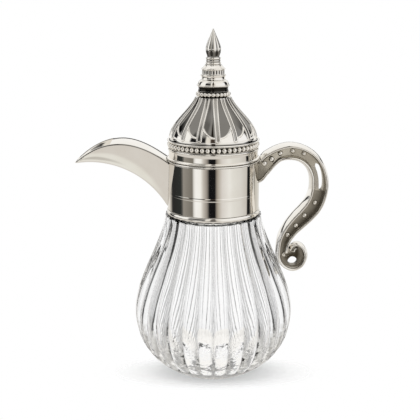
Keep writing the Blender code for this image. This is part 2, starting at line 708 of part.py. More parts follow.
# Lid
def lid_skirt(metal):
    foot_radius = COLLAR_RADIUS + LID_FOOT_PROUD
    inner = SKIRT_RADIUS - SKIRT_WALL
    ring_top = LID_FOOT + LID_FOOT_HEIGHT
    profile = [(inner, LID_FOOT)] + half_round(SKIRT_RADIUS, foot_radius, LID_FOOT, ring_top)
    top_radius = SKIRT_RADIUS + SKIRT_TOP_PROUD
    profile += [(SKIRT_RADIUS, SKIRT_TOP), (top_radius, SKIRT_TOP), (top_radius, SHELF_TOP),
                (SKIRT_SHELF_RADIUS, SHELF_TOP), (SKIRT_SHELF_RADIUS, SHELF_TOP - SKIRT_SHELF),
                (inner, SHELF_TOP - SKIRT_SHELF)]
    turned("lid_skirt", profile, RING_SIDES, metal)


def lid_plug(plastic, silicone):
    """A cup that drops into the collar, with a groove for its sealing ring."""
    top = SHELF_TOP - SKIRT_SHELF - GAP
    groove_top = LID_FOOT - LID_SEAL_DROP + GAP
    groove_foot = groove_top - LID_SEAL_HEIGHT - 2.0 * GAP
    seal_radius = LINER_BORE - SEAL_CLEARANCE
    groove = seal_radius - LID_SEAL_BITE - GAP
    inner = groove - PLUG_WALL + LID_SEAL_BITE
    floor = PLUG_FOOT + PLUG_FLOOR
    profile = [(STUD_BORE, PLUG_FOOT), (PLUG_RADIUS, PLUG_FOOT), (PLUG_RADIUS, groove_foot),
               (groove, groove_foot), (groove, groove_top), (PLUG_RADIUS, groove_top),
               (PLUG_RADIUS, LID_FOOT + GAP), (PLUG_SHOULDER_RADIUS, LID_FOOT + GAP),
               (PLUG_SHOULDER_RADIUS, top), (inner, top), (inner, floor),
               (PLUG_BOSS_RADIUS, floor), (PLUG_BOSS_RADIUS, top), (STUD_BORE, top)]
    turned("lid_plug", profile, RING_SIDES, plastic)
    seal = half_round(PLUG_RADIUS - GAP, seal_radius, groove_foot + GAP, groove_top - GAP)
    seal += [(groove + GAP, groove_top - GAP), (groove + GAP, groove_foot + GAP)]
    turned("lid_seal", seal, RING_SIDES, silicone)


def bead_wave(count, angle):
    """Nought at the crown of a bead, one in the groove beside it."""
    return 1.0 - abs(math.cos(0.5 * count * angle))


def lid_bands(metal):
    inner = SKIRT_SHELF_RADIUS
    top = BEAD_BAND_FOOT + BEAD_BAND_HEIGHT
    profile = half_round(BEAD_BAND_RADIUS - 2.0 * BEAD_DEPTH, BEAD_BAND_RADIUS, BEAD_BAND_FOOT, top)
    profile += [(inner, top), (inner, BEAD_BAND_FOOT)]

    def relief(radius, height, angle):
        proud = max(0.0, radius - BEAD_BAND_RADIUS + 2.0 * BEAD_DEPTH)
        return radius - 0.5 * proud * bead_wave(BEAD_COUNT, angle)

    turned("lid_bead_band", profile, BEAD_COUNT * BEAD_SIDES, metal, relief)
    ring_top = DOME_RING_FOOT + DOME_RING_HEIGHT
    ring = [(inner, DOME_RING_FOOT), (BEAD_BAND_RADIUS, DOME_RING_FOOT),
            (BEAD_BAND_RADIUS, ring_top), (inner, ring_top)]
    turned("lid_dome_ring", ring, RING_SIDES, metal)


def dome_side(rows):
    return bezier((DOME_RADIUS, DOME_FOOT), (DOME_RADIUS, DOME_FOOT + DOME_SIDE_RISE),
                  (DOME_TOP_RADIUS + DOME_TOP_LEAN, DOME_TOP - DOME_TOP_SWEEP),
                  (DOME_TOP_RADIUS, DOME_TOP), rows)


def panel_relief(radius, height, angle):
    """Sunk panels between raised ribs, from just above the foot to just below the top."""
    inside = DOME_FOOT + DOME_PANEL_FOOT < height < DOME_TOP - GAP
    on_rib = abs(math.sin(0.5 * DOME_PANELS * angle)) < DOME_RIB_WIDTH
    if not inside or on_rib:
        return radius
    return radius - DOME_PANEL_DEPTH


def lid_dome(metal):
    profile = [(0.0, DOME_FOOT)] + dome_side(DOME_ROWS) + [(0.0, DOME_TOP)]
    dome = turned("lid_dome", profile, DOME_PANELS * DOME_PANEL_SIDES, metal, panel_relief)
    inner = []
    for radius, height in dome_side(DOME_ROWS)[:-1]:
        if height < DOME_TOP - DOME_WALL:
            inner.append((radius - DOME_WALL, height))
    inner[0] = (inner[0][0], DOME_FOOT - CUT_OVERRUN)
    roof = DOME_TOP - DOME_WALL
    hollow = [(0.0, DOME_FOOT - CUT_OVERRUN)] + inner + [(inner[-1][0] - DOME_WALL, roof), (0.0, roof)]
    cut(dome, turned("dome_hollow", hollow, DOME_PANELS * 2, metal),
        ring_cylinder("dome_stud_hole", STUD_BORE, DOME_FOOT, DOME_TOP + CUT_OVERRUN, metal, FINIAL_SIDES))


# Finial: turned pieces stacked on the stud
def bored(outline, foot, top):
    """Close an outer outline with the bore for the stud."""
    return outline + [(STUD_BORE, top), (STUD_BORE, foot)]


def finial_bead_ring(metal):
    top = FINIAL_BEAD_FOOT + FINIAL_BEAD_HEIGHT
    outline = half_round(FINIAL_BEAD_RADIUS - 2.0 * FINIAL_BEAD_DEPTH, FINIAL_BEAD_RADIUS,
                         FINIAL_BEAD_FOOT, top)

    def relief(radius, height, angle):
        proud = max(0.0, radius - FINIAL_BEAD_RADIUS + 2.0 * FINIAL_BEAD_DEPTH)
        return radius - 0.5 * proud * bead_wave(FINIAL_BEAD_COUNT, angle)

    turned("finial_bead_ring", bored(outline, FINIAL_BEAD_FOOT, top), FINIAL_BEAD_COUNT * 2, metal, relief)


def finial_cup(metal):
    top = CUP_FOOT + CUP_HEIGHT
    band_top = CUP_FOOT + CUP_BAND
    shoulder = bezier((CUP_RADIUS, band_top), (CUP_RADIUS, band_top + 0.5 * (top - band_top)),
                      (CUP_TOP_RADIUS + GAP, top - 0.4 * (top - band_top)), (CUP_TOP_RADIUS, top), 4)
    turned("finial_cup", bored([(CUP_RADIUS, CUP_FOOT)] + shoulder, CUP_FOOT, top), FINIAL_SIDES, metal)


def finial_spool(metal):
    top = SPOOL_FOOT + SPOOL_HEIGHT
    outline = [(SPOOL_RADIUS, SPOOL_FOOT), (SPOOL_RADIUS, top - SPOOL_LIP)]
    outline += half_round(SPOOL_RADIUS, SPOOL_LIP_RADIUS, top - SPOOL_LIP, top)[1:]
    turned("finial_spool", bored(outline, SPOOL_FOOT, top), FINIAL_SIDES, metal)


def finial_crown(metal):
    top = CROWN_FOOT + CROWN_HEIGHT
    lip_foot = CROWN_FOOT + CROWN_BAND
    lip_top = lip_foot + CROWN_LIP
    outline = [(CROWN_RADIUS, CROWN_FOOT), (CROWN_RADIUS, lip_foot)]
    outline += half_round(CROWN_RADIUS, CROWN_LIP_RADIUS, lip_foot, lip_top)[1:-1]
    outline += bezier((CROWN_RADIUS, lip_top), (CROWN_TOP_RADIUS + GAP, lip_top + GAP),
                      (CROWN_TOP_RADIUS, lip_top + GAP), (CROWN_TOP_RADIUS, top), 3)

    def relief(radius, height, angle):
        fluted = height < lip_foot + GAP and radius > STUD_BORE + GAP
        if not fluted:
            return radius
        return radius - CROWN_FLUTE_DEPTH * bead_wave(CROWN_FLUTES, angle)

    turned("finial_crown", bored(outline, CROWN_FOOT, top), CROWN_FLUTES * 2, metal, relief)


def finial_rings(metal):
    top = RINGS_FOOT + RINGS_HEIGHT
    middle = RINGS_FOOT + 0.5 * RINGS_HEIGHT
    outline = half_round(RINGS_WAIST_RADIUS, RINGS_LOWER_RADIUS, RINGS_FOOT, middle)
    outline += half_round(RINGS_WAIST_RADIUS, RINGS_UPPER_RADIUS, middle, top)[1:]
    turned("finial_rings", bored(outline, RINGS_FOOT, top), FINIAL_SIDES, metal)


def finial_bud(metal):
    top = BUD_FOOT + BUD_HEIGHT
    widest = BUD_FOOT + BUD_WIDEST
    lower = bezier((BUD_FOOT_RADIUS, BUD_FOOT), (BUD_FOOT_RADIUS + 2.0 * GAP, BUD_FOOT + 2.0 * GAP),
                   (BUD_RADIUS, widest - 0.5 * BUD_WIDEST), (BUD_RADIUS, widest), 3)
    upper = bezier((BUD_RADIUS, widest), (BUD_RADIUS, widest + BUD_FULLNESS),
                   (BUD_POINT_RADIUS, top - BUD_POINT_LENGTH), (BUD_TIP_RADIUS, top), 6)
    hole_top = BUD_FOOT + STUD_IN_BUD + GAP
    profile = [(0.0, hole_top), (STUD_BORE, hole_top), (STUD_BORE, BUD_FOOT)]
    profile += lower + upper[1:] + [(0.0, top)]
    turned("finial_bud", profile, FINIAL_SIDES, metal)


def lid_fixing(steel, silicone):
    """The stud that pulls the finial, the dome, the bands and the plug together."""
    ring_cylinder("lid_stud", STUD_RADIUS, NUT_FOOT - STUD_TAIL + NUT_HEIGHT, BUD_FOOT + STUD_IN_BUD,
                  steel, SCREW_SIDES)
    washer_top = WASHER_FOOT + WASHER_THICKNESS
    washer = [(STUD_BORE, WASHER_FOOT), (WASHER_RADIUS, WASHER_FOOT),
              (WASHER_RADIUS, washer_top), (STUD_BORE, washer_top)]
    turned("lid_washer", washer, FINIAL_SIDES, silicone)
    nut = ring_cylinder("lid_nut", NUT_RADIUS, NUT_FOOT, NUT_FOOT + NUT_HEIGHT, steel, NUT_SIDES)
    cut(nut, ring_cylinder("nut_bore", STUD_BORE, NUT_FOOT - CUT_OVERRUN, NUT_FOOT + CUT_OVERRUN,
                           steel, SCREW_SIDES))


def build():
    clear_scene()
    glass = make_material("clear_glass", (0.95, 0.97, 0.97), 0.03, 0.0, 1.0)
    metal = make_material("polished_nickel", (0.80, 0.77, 0.73), 0.08, 1.0)
    steel = make_material("stainless_steel", (0.60, 0.60, 0.60), 0.30, 1.0)
    plastic = make_material("white_plastic", (0.82, 0.82, 0.80), 0.45, 0.0)
    silicone = make_material("clear_silicone", (0.75, 0.75, 0.73), 0.50, 0.0)

    glass_body(glass)
    neck_parts(plastic, silicone)
    shell = collar_shell(metal)
    liner = collar_liner(plastic)
    collar_rings(metal)
    window = spout_window(metal)
    cut(shell, window)
    cut(liner, window)
    envelope = collar_envelope(metal)
    spout_trough(metal, envelope)
    spout_cover(metal, envelope)
    bar = handle(metal, envelope)
    handle_screws(steel, (shell, liner, bar))
    lid_skirt(metal)
    lid_plug(plastic, silicone)
    lid_bands(metal)
    lid_dome(metal)
    finial_bead_ring(metal)
    finial_cup(metal)
    finial_spool(metal)
    finial_crown(metal)
    finial_rings(metal)
    finial_bud(metal)
    lid_fixing(steel, silicone)


build()
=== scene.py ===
"""Looks of a covered pouring jug: ribbed glass, mirror-polished metal collar, spout, handle and lid."""

import math

import bmesh
import bpy
from mathutils import Matrix, Vector


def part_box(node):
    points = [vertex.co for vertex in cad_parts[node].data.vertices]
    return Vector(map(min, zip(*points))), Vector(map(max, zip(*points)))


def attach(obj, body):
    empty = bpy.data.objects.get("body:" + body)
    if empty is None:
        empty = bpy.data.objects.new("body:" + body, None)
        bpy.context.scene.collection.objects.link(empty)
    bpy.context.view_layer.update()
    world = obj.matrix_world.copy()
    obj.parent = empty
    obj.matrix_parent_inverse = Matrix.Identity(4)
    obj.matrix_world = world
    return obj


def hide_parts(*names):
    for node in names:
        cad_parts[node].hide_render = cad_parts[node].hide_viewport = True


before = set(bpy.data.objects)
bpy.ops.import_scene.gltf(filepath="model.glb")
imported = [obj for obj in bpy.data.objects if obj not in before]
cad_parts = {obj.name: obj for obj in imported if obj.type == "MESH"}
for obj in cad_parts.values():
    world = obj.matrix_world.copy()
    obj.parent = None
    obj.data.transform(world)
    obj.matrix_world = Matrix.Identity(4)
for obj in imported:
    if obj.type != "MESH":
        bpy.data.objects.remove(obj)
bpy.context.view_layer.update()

# The camera stands 0.67 m in front of the jug and a little above it, as in the photograph.
CAMERA_PLACE = (0.0, -0.674, 0.319)
CAMERA_TILT = math.radians(90.0 - 14.4)
CAMERA_LENS = 68.57
CAMERA_SENSOR = 36.0
CAMERA_SHIFT = -0.0079

camera_data = bpy.data.cameras.new("camera")
camera_data.lens = CAMERA_LENS
camera_data.sensor_width = CAMERA_SENSOR
camera_data.shift_x = CAMERA_SHIFT
camera = bpy.data.objects.new("camera", camera_data)
camera.location = CAMERA_PLACE
camera.rotation_euler = (CAMERA_TILT, 0.0, 0.0)
bpy.context.scene.collection.objects.link(camera)
bpy.context.scene.camera = camera
bpy.context.scene.view_settings.view_transform = "Standard"

# The studio: a pale round table that fades out into a white surround, and one large soft lamp.
# Polished metal sees the room itself: tall soft screens with dark gaps between them, each given
# as (degrees about the jug, colour).
WHITE = (1.0, 1.0, 1.0, 1.0)
PALE = (1.0, 0.985, 0.96)
GAP = (0.012, 0.012, 0.013)
TOP_BANDS = (
    (-180.0, PALE), (-66.0, PALE), (-58.0, (0.50, 0.49, 0.47)), (-24.0, (0.50, 0.49, 0.47)),
    (-14.0, PALE), (-8.0, (0.90, 0.88, 0.84)), (-5.0, (0.05, 0.04, 0.03)), (5.0, (0.05, 0.04, 0.03)),
    (8.0, (0.90, 0.88, 0.84)), (180.0, PALE),
)
ROOM_BANDS = (
    (-180.0, (0.86, 0.85, 0.82)), (-145.0, (0.80, 0.77, 0.72)), (-130.0, (0.30, 0.28, 0.25)),
    (-125.0, (0.030, 0.030, 0.030)), (-115.0, (0.026, 0.026, 0.025)), (-88.0, (0.030, 0.033, 0.031)),
    (-83.0, (0.14, 0.135, 0.125)), (-80.0, (0.31, 0.29, 0.26)), (-53.5, (0.21, 0.195, 0.17)),
    (-49.0, (0.80, 0.79, 0.77)), (-44.0, (1.0, 1.0, 1.0)), (-32.0, (0.98, 0.98, 0.96)),
    (-25.0, (0.62, 0.59, 0.55)), (-16.0, (0.34, 0.31, 0.28)), (-12.5, (0.14, 0.13, 0.12)),
    (-10.0, (0.008, 0.008, 0.009)), (4.5, (0.009, 0.009, 0.009)), (7.5, (0.26, 0.23, 0.20)),
    (12.0, (0.47, 0.43, 0.37)), (22.0, (0.75, 0.72, 0.69)), (40.0, (0.90, 0.89, 0.86)),
    (50.0, (0.83, 0.82, 0.78)), (72.0, (0.76, 0.745, 0.71)), (91.5, (0.62, 0.59, 0.55)),
    (94.0, (0.012,) * 3), (121.0, (0.012,) * 3), (128.0, (0.60, 0.57, 0.51)),
    (150.0, (0.74, 0.72, 0.67)), (180.0, (0.86, 0.85, 0.82)),
)
UPPER_BANDS = (
    (-180.0, (1.0, 0.99, 0.97)), (-133.0, (0.95, 0.94, 0.91)), (-130.0, GAP), (-112.0, GAP),
    (-108.0, (1.05, 1.05, 1.04)), (-66.0, (1.0, 1.0, 0.98)), (-61.0, GAP), (-22.0, GAP),
    (-18.0, (0.85, 0.82, 0.76)), (-9.0, (0.80, 0.76, 0.70)), (-6.0, (0.06, 0.045, 0.035)),
    (4.0, (0.06, 0.045, 0.035)), (9.0, (0.70, 0.66, 0.60)), (24.0, (1.0, 0.99, 0.97)),
    (98.0, (1.0, 1.0, 1.02)), (103.0, GAP), (128.0, GAP), (133.0, (0.95, 0.94, 0.91)),
    (180.0, (1.0, 0.99, 0.97)),
)
HORIZON_HALF = ((138.0, (0.90, 0.89, 0.87)), (148.0, (0.05,) * 3), (180.0, (0.05,) * 3))
BACKLIGHT_HALF = (
    (40.0, (0.85,) * 3), (76.0, (0.88,) * 3), (83.0, (0.03,) * 3), (110.0, (0.03,) * 3),
    (116.0, (0.92,) * 3), (147.0, (0.98,) * 3), (151.0, (0.42,) * 3), (157.0, (0.42,) * 3),
    (161.0, (1.0,) * 3), (180.0, (1.0,) * 3),
)
BACKLIGHT_LOW_HALF = (
    (45.0, (0.98, 0.96, 0.92)), (60.0, (0.32, 0.31, 0.29)), (110.0, (0.72, 0.71, 0.68)),
    (138.0, (0.32, 0.31, 0.29)), (155.0, (1.0, 0.98, 0.94)), (180.0, (1.0, 0.98, 0.94)),
)
BACKLIGHT_TOP = (0.30, 0.30, 0.31, 1.0)
FLOOR_SEEN = (0.72, 0.69, 0.65, 1.0)
FLOOR_SEEN_NEAR = (0.84, 0.83, 0.78, 1.0)
FLOOR_SEEN_UNDER = (0.60, 0.58, 0.54, 1.0)
# Each change of the light lies between two heights of the direction, from -1 down to 1 up.
UPPER_RISE = (-0.175, -0.160)
HORIZON_FOOT = (-0.02, 0.0)
HORIZON_HEAD = (0.07, 0.10)
TOP_RISE = (0.42, 0.80)
ROOF_RISE = (0.93, 0.99)
FLOOR_FALL = (-0.27, -0.33)
FLOOR_NEAR_FALL = (-0.70, -0.85)
FLOOR_UNDER_FALL = (-0.94, -0.99)
BACKLIGHT_TOP_RISE = (0.35, 0.60)
BACKLIGHT_LOW_FALL = (-0.38, -0.60)
FLOOR_RADIUS = 0.30
FLOOR_FADE = (0.035, 0.112)
FLOOR_FADE_STRETCH = (1.0, 2.8, 1.0)
FLOOR_FADE_SHIFT = (0.0, 0.042, 0.0)
FLOOR_COLOUR = (0.96, 0.96, 0.955, 1.0)
FLOOR_ROUGHNESS = 0.7
FLOOR_SHEEN = 0.2
LAMP_PLACE = (-0.55, -0.60, 1.05)
LAMP_SIZE = 0.9
LAMP_POWER = 2.0


def set_inputs(tree, node, inputs):
    """Give a node's inputs their values, or link them to other nodes' outputs."""
    for name, value in inputs.items():
        if isinstance(value, bpy.types.NodeSocket):
            tree.links.new(value, node.inputs[name])
        else:
            node.inputs[name].default_value = value


def add_node(tree, kind, inputs=None, **settings):
    """A new node with its settings and inputs."""
    node = tree.nodes.new(kind)
    for name, value in settings.items():
        setattr(node, name, value)
    set_inputs(tree, node, inputs or {})
    return node


def number(tree, operation, *values):
    """The result of a sum on numbers and other nodes' outputs."""
    return add_node(tree, "ShaderNodeMath", dict(enumerate(values)), operation=operation).outputs[0]


def vector(tree, operation, inputs):
    return add_node(tree, "ShaderNodeVectorMath", inputs, operation=operation).outputs


def colour_ramp(tree, source, stops):
    """Colours along a value, from (position, colour) stops."""
    node = add_node(tree, "ShaderNodeValToRGB", {"Fac": source})
    elements = node.color_ramp.elements
    elements.remove(elements[-1])
    elements[0].position = stops[0][0]
    elements[0].color = (*stops[0][1], 1.0)
    for position, colour in stops[1:]:
        elements.new(position).color = (*colour, 1.0)
    return node.outputs["Color"]


def mix_colours(tree, share, first, second):
    mix = add_node(tree, "ShaderNodeMixRGB", {"Fac": share, "Color1": first, "Color2": second})
    return mix.outputs["Color"]


def eased(tree, value, start, full):
    """Nought to one between two values, smoothly."""
    inputs = {"Value": value, "From Min": start, "From Max": full}
    return add_node(tree, "ShaderNodeMapRange", inputs, interpolation_type="SMOOTHSTEP").outputs["Result"]


def both_ways(half):
    """The same bands to the left and to the right."""
    return [(-angle, colour) for angle, colour in reversed(half)] + list(half)


def room_world():
    """White for the eye, a backlight through glass, the studio's screens for metal, plain for light."""
    world = bpy.data.worlds.new("studio")
    world.use_nodes = True
    tree = world.node_tree
    tree.nodes.clear()
    direction = add_node(tree, "ShaderNodeTexCoord").outputs["Generated"]
    x, y, z = add_node(tree, "ShaderNodeSeparateXYZ", {0: direction}).outputs
    turn = number(tree, "ARCTAN2", x, number(tree, "MULTIPLY", y, -1.0))
    share = number(tree, "MULTIPLY_ADD", turn, 0.5 / math.pi, 0.5)

    def around(bands):
        """Colours over the turn about the jug."""
        return colour_ramp(tree, share, [((angle + 180.0) / 360.0, colour) for angle, colour in bands])

    def background(colour):
        return add_node(tree, "ShaderNodeBackground", {"Color": colour}).outputs[0]

    room = around(ROOM_BANDS)
    upper = around(UPPER_BANDS)
    glow = around(both_ways(BACKLIGHT_HALF))
    for colour, heights in ((upper, UPPER_RISE), (around(both_ways(HORIZON_HALF)), HORIZON_FOOT),
                            (upper, HORIZON_HEAD), (around(TOP_BANDS), TOP_RISE),
                            ((*PALE, 1.0), ROOF_RISE), (FLOOR_SEEN, FLOOR_FALL),
                            (FLOOR_SEEN_NEAR, FLOOR_NEAR_FALL), (FLOOR_SEEN_UNDER, FLOOR_UNDER_FALL)):
        room = mix_colours(tree, eased(tree, z, *heights), room, colour)
    for colour, heights in ((BACKLIGHT_TOP, BACKLIGHT_TOP_RISE),
                            (around(both_ways(BACKLIGHT_LOW_HALF)), BACKLIGHT_LOW_FALL)):
        glow = mix_colours(tree, eased(tree, z, *heights), glow, colour)

    path = add_node(tree, "ShaderNodeLightPath")
    seen = background(WHITE)
    for ray, colour in (("Is Glossy Ray", room), ("Is Transmission Ray", glow), ("Is Camera Ray", WHITE)):
        mix = add_node(tree, "ShaderNodeMixShader", {0: path.outputs[ray], 1: seen, 2: background(colour)})
        seen = mix.outputs[0]
    add_node(tree, "ShaderNodeOutputWorld", {"Surface": seen})
    return world


def new_material(name):
    """A new material and its node tree, which holds one plain shader."""
    material = bpy.data.materials.new(name)
    material.use_nodes = True
    return material, material.node_tree


def shade(tree, inputs):
    """Set the material's own shader."""
    set_inputs(tree, tree.nodes["Principled BSDF"], inputs)


def clear_where(tree, share, colour=WHITE):
    """Let light straight through where the share is one."""
    shader = tree.nodes["Principled BSDF"].outputs[0]
    clear = add_node(tree, "ShaderNodeBsdfTransparent", {"Color": colour}).outputs[0]
    mix = add_node(tree, "ShaderNodeMixShader", {0: share, 1: shader, 2: clear})
    set_inputs(tree, tree.nodes["Material Output"], {"Surface": mix.outputs[0]})


def table_material():
    """Matt white board that turns clear towards its edge, so that no edge shows."""
    material, tree = new_material("table")
    shade(tree, {"Base Color": FLOOR_COLOUR, "Roughness": FLOOR_ROUGHNESS,
                 "Specular IOR Level": FLOOR_SHEEN})
    place = add_node(tree, "ShaderNodeTexCoord").outputs["Object"]
    oval = vector(tree, "MULTIPLY_ADD", {0: place, 1: FLOOR_FADE_STRETCH, 2: FLOOR_FADE_SHIFT})
    distance = vector(tree, "LENGTH", {0: oval["Vector"]})["Value"]
    clear_where(tree, eased(tree, distance, *FLOOR_FADE))
    return material


bpy.context.scene.world = room_world()
floor_mesh = bpy.data.meshes.new("table")
floor_shape = bmesh.new()
bmesh.ops.create_circle(floor_shape, cap_ends=True, segments=96, radius=FLOOR_RADIUS)
floor_shape.to_mesh(floor_mesh)
floor_shape.free()
floor_mesh.materials.append(table_material())
floor = bpy.data.objects.new("table", floor_mesh)
floor.visible_glossy = False
floor.visible_transmission = False
bpy.context.scene.collection.objects.link(floor)
lamp_data = bpy.data.lights.new("soft_lamp", "AREA")
lamp_data.size = LAMP_SIZE
lamp_data.energy = LAMP_POWER
lamp = bpy.data.objects.new("soft_lamp", lamp_data)
lamp.location = LAMP_PLACE
lamp.rotation_euler = (-Vector(LAMP_PLACE)).to_track_quat("-Z", "Y").to_euler()
lamp.visible_glossy = False
bpy.context.scene.collection.objects.link(lamp)

# The glass body is pressed clear glass: 32 rounded ribs run from the foot to the shoulder, the
# floor is thick and the inside smooth. Its neck stands hidden inside the collar.
MM = 0.001
FULL_TURN = 2.0 * math.pi
SMOOTH_ANGLE = math.radians(32.0)
FOOT_RADIUS = 29.7 * MM
FOOT_FLARE_OUT = 20.6 * MM
FOOT_FLARE_UP = 9.0 * MM
FOOT_HOLLOW_RADIUS = 22.0 * MM
FOOT_HOLLOW = 1.2 * MM
BELLY_RADIUS = 69.33 * MM
BELLY_HEIGHT = 57.0 * MM
BELLY_BELOW = 33.0 * MM
BELLY_ABOVE = 27.2 * MM
SHOULDER_RADIUS = 41.5 * MM
SHOULDER_HEIGHT = 143.8 * MM
SHOULDER_LEAN = 3.3 * MM
SHOULDER_RISE = 27.7 * MM
NECK_RADIUS = 34.5 * MM
NECK_BORE = 30.5 * MM
GLASS_WALL = 4.6 * MM
GLASS_FLOOR = 13.0 * MM
GLASS_FLOOR_RADIUS = 41.0 * MM
GLASS_FLOOR_CORNER = 9.0 * MM
BODY_ROWS = 46
RIB_COUNT = 32
RIB_DEPTH = 2.2 * MM
RIB_FULLNESS = 0.97
SIDES_PER_RIB = 14
HELD_EDGE = 0.15 * MM
GLASS_IOR = 1.5
GLASS_HAZE = (0.0, 0.03)
GLASS_HAZE_PATTERN = (220.0, 2.0)
GLASS_WAVE_PATTERN = (70.0, 1.0, (1.0, 1.0, 0.35))
GLASS_WAVE_DEPTH = 0.25 * MM
GLASS_PIT_PATTERN = (240.0, 1.0)
GLASS_PIT_DEPTH = 0.32 * MM
GLASS_PITTED = (34.0 * MM, 66.0 * MM)
NECK_EDGE = 0.5 * MM
GLASS_SHADOW = (0.90, 0.91, 0.91, 1.0)


def curve(start, start_pull, end_pull, end, steps):
    """Points of (radius, height) on one smooth curve, both ends included."""
    points = []
    for step in range(steps + 1):
        t = step / steps
        u = 1.0 - t
        weights = (u ** 3, 3.0 * u * u * t, 3.0 * u * t * t, t ** 3)
        pulls = (start, start_pull, end_pull, end)
        points.append(tuple(sum(w * p[i] for w, p in zip(weights, pulls)) for i in range(2)))
    return points


def shade_mesh(mesh):
    """Smooth faces, with sharp edges where they meet steeply."""
    mesh.shade_smooth()
    mesh.set_sharp_from_angle(angle=SMOOTH_ANGLE)


def new_object(name, shape, material):
    """A bmesh becomes a named object with outward faces and smooth round sides."""
    bmesh.ops.recalc_face_normals(shape, faces=shape.faces)
    mesh = bpy.data.meshes.new(name)
    shape.to_mesh(mesh)
    shape.free()
    shade_mesh(mesh)
    mesh.materials.append(material)
    item = bpy.data.objects.new(name, mesh)
    bpy.context.scene.collection.objects.link(item)
    return item


def held(outline):
    """Add a point just inside both ends of each long side, so that its shading stays true."""
    points = []
    for here, after in zip(outline, outline[1:] + outline[:1]):
        points.append(here)
        length = math.dist(here, after)
        if length > 6.0 * HELD_EDGE and here[0] > 0.0 and after[0] > 0.0:
            for share in (HELD_EDGE / length, 1.0 - HELD_EDGE / length):
                points.append(tuple(a + (b - a) * share for a, b in zip(here, after)))
    return points


def lathe(name, outline, sides, material, relief=None, column=None, hold=True):
    """Spin a closed outline of (radius, height) about the jug's axis. A relief may move points, a
    column rule may turn them, and long sides get an extra point at each end unless hold is off."""
    shape = bmesh.new()
    rings = []
    for radius, height in held(outline) if hold else outline:
        if radius <= 0.0:
            rings.append([shape.verts.new((0.0, 0.0, height))])
            continue
        ring = []
        for side in range(sides):
            angle = column(radius, side) if column else FULL_TURN * side / sides
            reach = relief(radius, height, angle) if relief else radius
            ring.append(shape.verts.new((reach * math.cos(angle), reach * math.sin(angle), height)))
        rings.append(ring)
    for low, high in zip(rings, rings[1:] + rings[:1]):
        if len(low) == 1 and len(high) == 1:
            continue
        for side in range(sides):
            after = (side + 1) % sides
            if len(low) == 1:
                shape.faces.new((low[0], high[after], high[side]))
            elif len(high) == 1:
                shape.faces.new((low[side], low[after], high[0]))
            else:
                shape.faces.new((low[side], low[after], high[after], high[side]))
    return new_object(name, shape, material)


def value_at(pairs, place):
    """Second value of a row of pairs, read off at a first value between them."""
    for near, far in zip(pairs, pairs[1:]):
        if near[0] <= place <= far[0]:
            return near[1] + (far[1] - near[1]) * (place - near[0]) / (far[0] - near[0])
    return pairs[0][1] if place < pairs[0][0] else pairs[-1][1]


def noise(tree, scale, detail, stretch=(1.0, 1.0, 1.0)):
    """Noise that sits still on the piece. A pattern gives its size in 1/metre, detail and stretch."""
    place = add_node(tree, "ShaderNodeTexCoord").outputs["Object"]
    mapped = add_node(tree, "ShaderNodeMapping", {"Vector": place, "Scale": stretch}).outputs["Vector"]
    inputs = {"Vector": mapped, "Scale": scale, "Detail": detail}
    return add_node(tree, "ShaderNodeTexNoise", inputs).outputs["Fac"]


def stretched(tree, value, low, high, from_low=0.0, from_high=1.0):
    """Stretch a value to a range."""
    inputs = {"Value": value, "From Min": from_low, "From Max": from_high, "To Min": low, "To Max": high}
    return add_node(tree, "ShaderNodeMapRange", inputs).outputs["Result"]


def bump(tree, height, distance, **more):
    """A fine relief of the surface."""
    inputs = {"Height": height, "Distance": distance, "Strength": 1.0, **more}
    return add_node(tree, "ShaderNodeBump", inputs).outputs["Normal"]


def clear_glass():
    """Pressed glass: clear, with the faint waves of the mould, and pitted near the foot."""
    material, tree = new_material("clear_glass")
    waves = bump(tree, noise(tree, *GLASS_WAVE_PATTERN), GLASS_WAVE_DEPTH)
    place = add_node(tree, "ShaderNodeTexCoord").outputs["Object"]
    height = add_node(tree, "ShaderNodeSeparateXYZ", {0: place}).outputs["Z"]
    low = stretched(tree, height, 1.0, 0.0, *GLASS_PITTED)
    pits = bump(tree, noise(tree, *GLASS_PIT_PATTERN), GLASS_PIT_DEPTH, Strength=low, Normal=waves)
    haze = stretched(tree, noise(tree, *GLASS_HAZE_PATTERN), *GLASS_HAZE)
    shade(tree, {"Base Color": WHITE, "Transmission Weight": 1.0, "IOR": GLASS_IOR, "Roughness": haze,
                 "Normal": pits})
    clear_where(tree, add_node(tree, "ShaderNodeLightPath").outputs["Is Shadow Ray"], GLASS_SHADOW)
    return material


def new_tree(name, sizes):
    """A geometry node tree with a named input for each size, and one for the material."""
    tree = bpy.data.node_groups.new(name, "GeometryNodeTree")
    tree.interface.new_socket("Geometry", in_out="INPUT", socket_type="NodeSocketGeometry")
    for label, value in sizes.items():
        kind = "NodeSocketInt" if isinstance(value, int) else "NodeSocketFloat"
        tree.interface.new_socket(label, in_out="INPUT", socket_type=kind).default_value = value
    tree.interface.new_socket("Material", in_out="INPUT", socket_type="NodeSocketMaterial")
    tree.interface.new_socket("Geometry", in_out="OUTPUT", socket_type="NodeSocketGeometry")
    return tree, add_node(tree, "NodeGroupInput").outputs


def finish_tree(tree, source, given):
    """Every tree ends in real geometry with its material set."""
    real = add_node(tree, "GeometryNodeRealizeInstances", {"Geometry": source}).outputs[0]
    coat = add_node(tree, "GeometryNodeSetMaterial", {"Geometry": real, "Material": given["Material"]})
    add_node(tree, "NodeGroupOutput", {"Geometry": coat.outputs[0]})
    return tree


def keep_mesh(item):
    """Keep what a piece's modifiers make as its plain mesh."""
    graph = bpy.context.evaluated_depsgraph_get()
    mesh = bpy.data.meshes.new_from_object(item.evaluated_get(graph), depsgraph=graph)
    item.modifiers.clear()
    item.data = mesh
    mesh.name = item.name
    return item


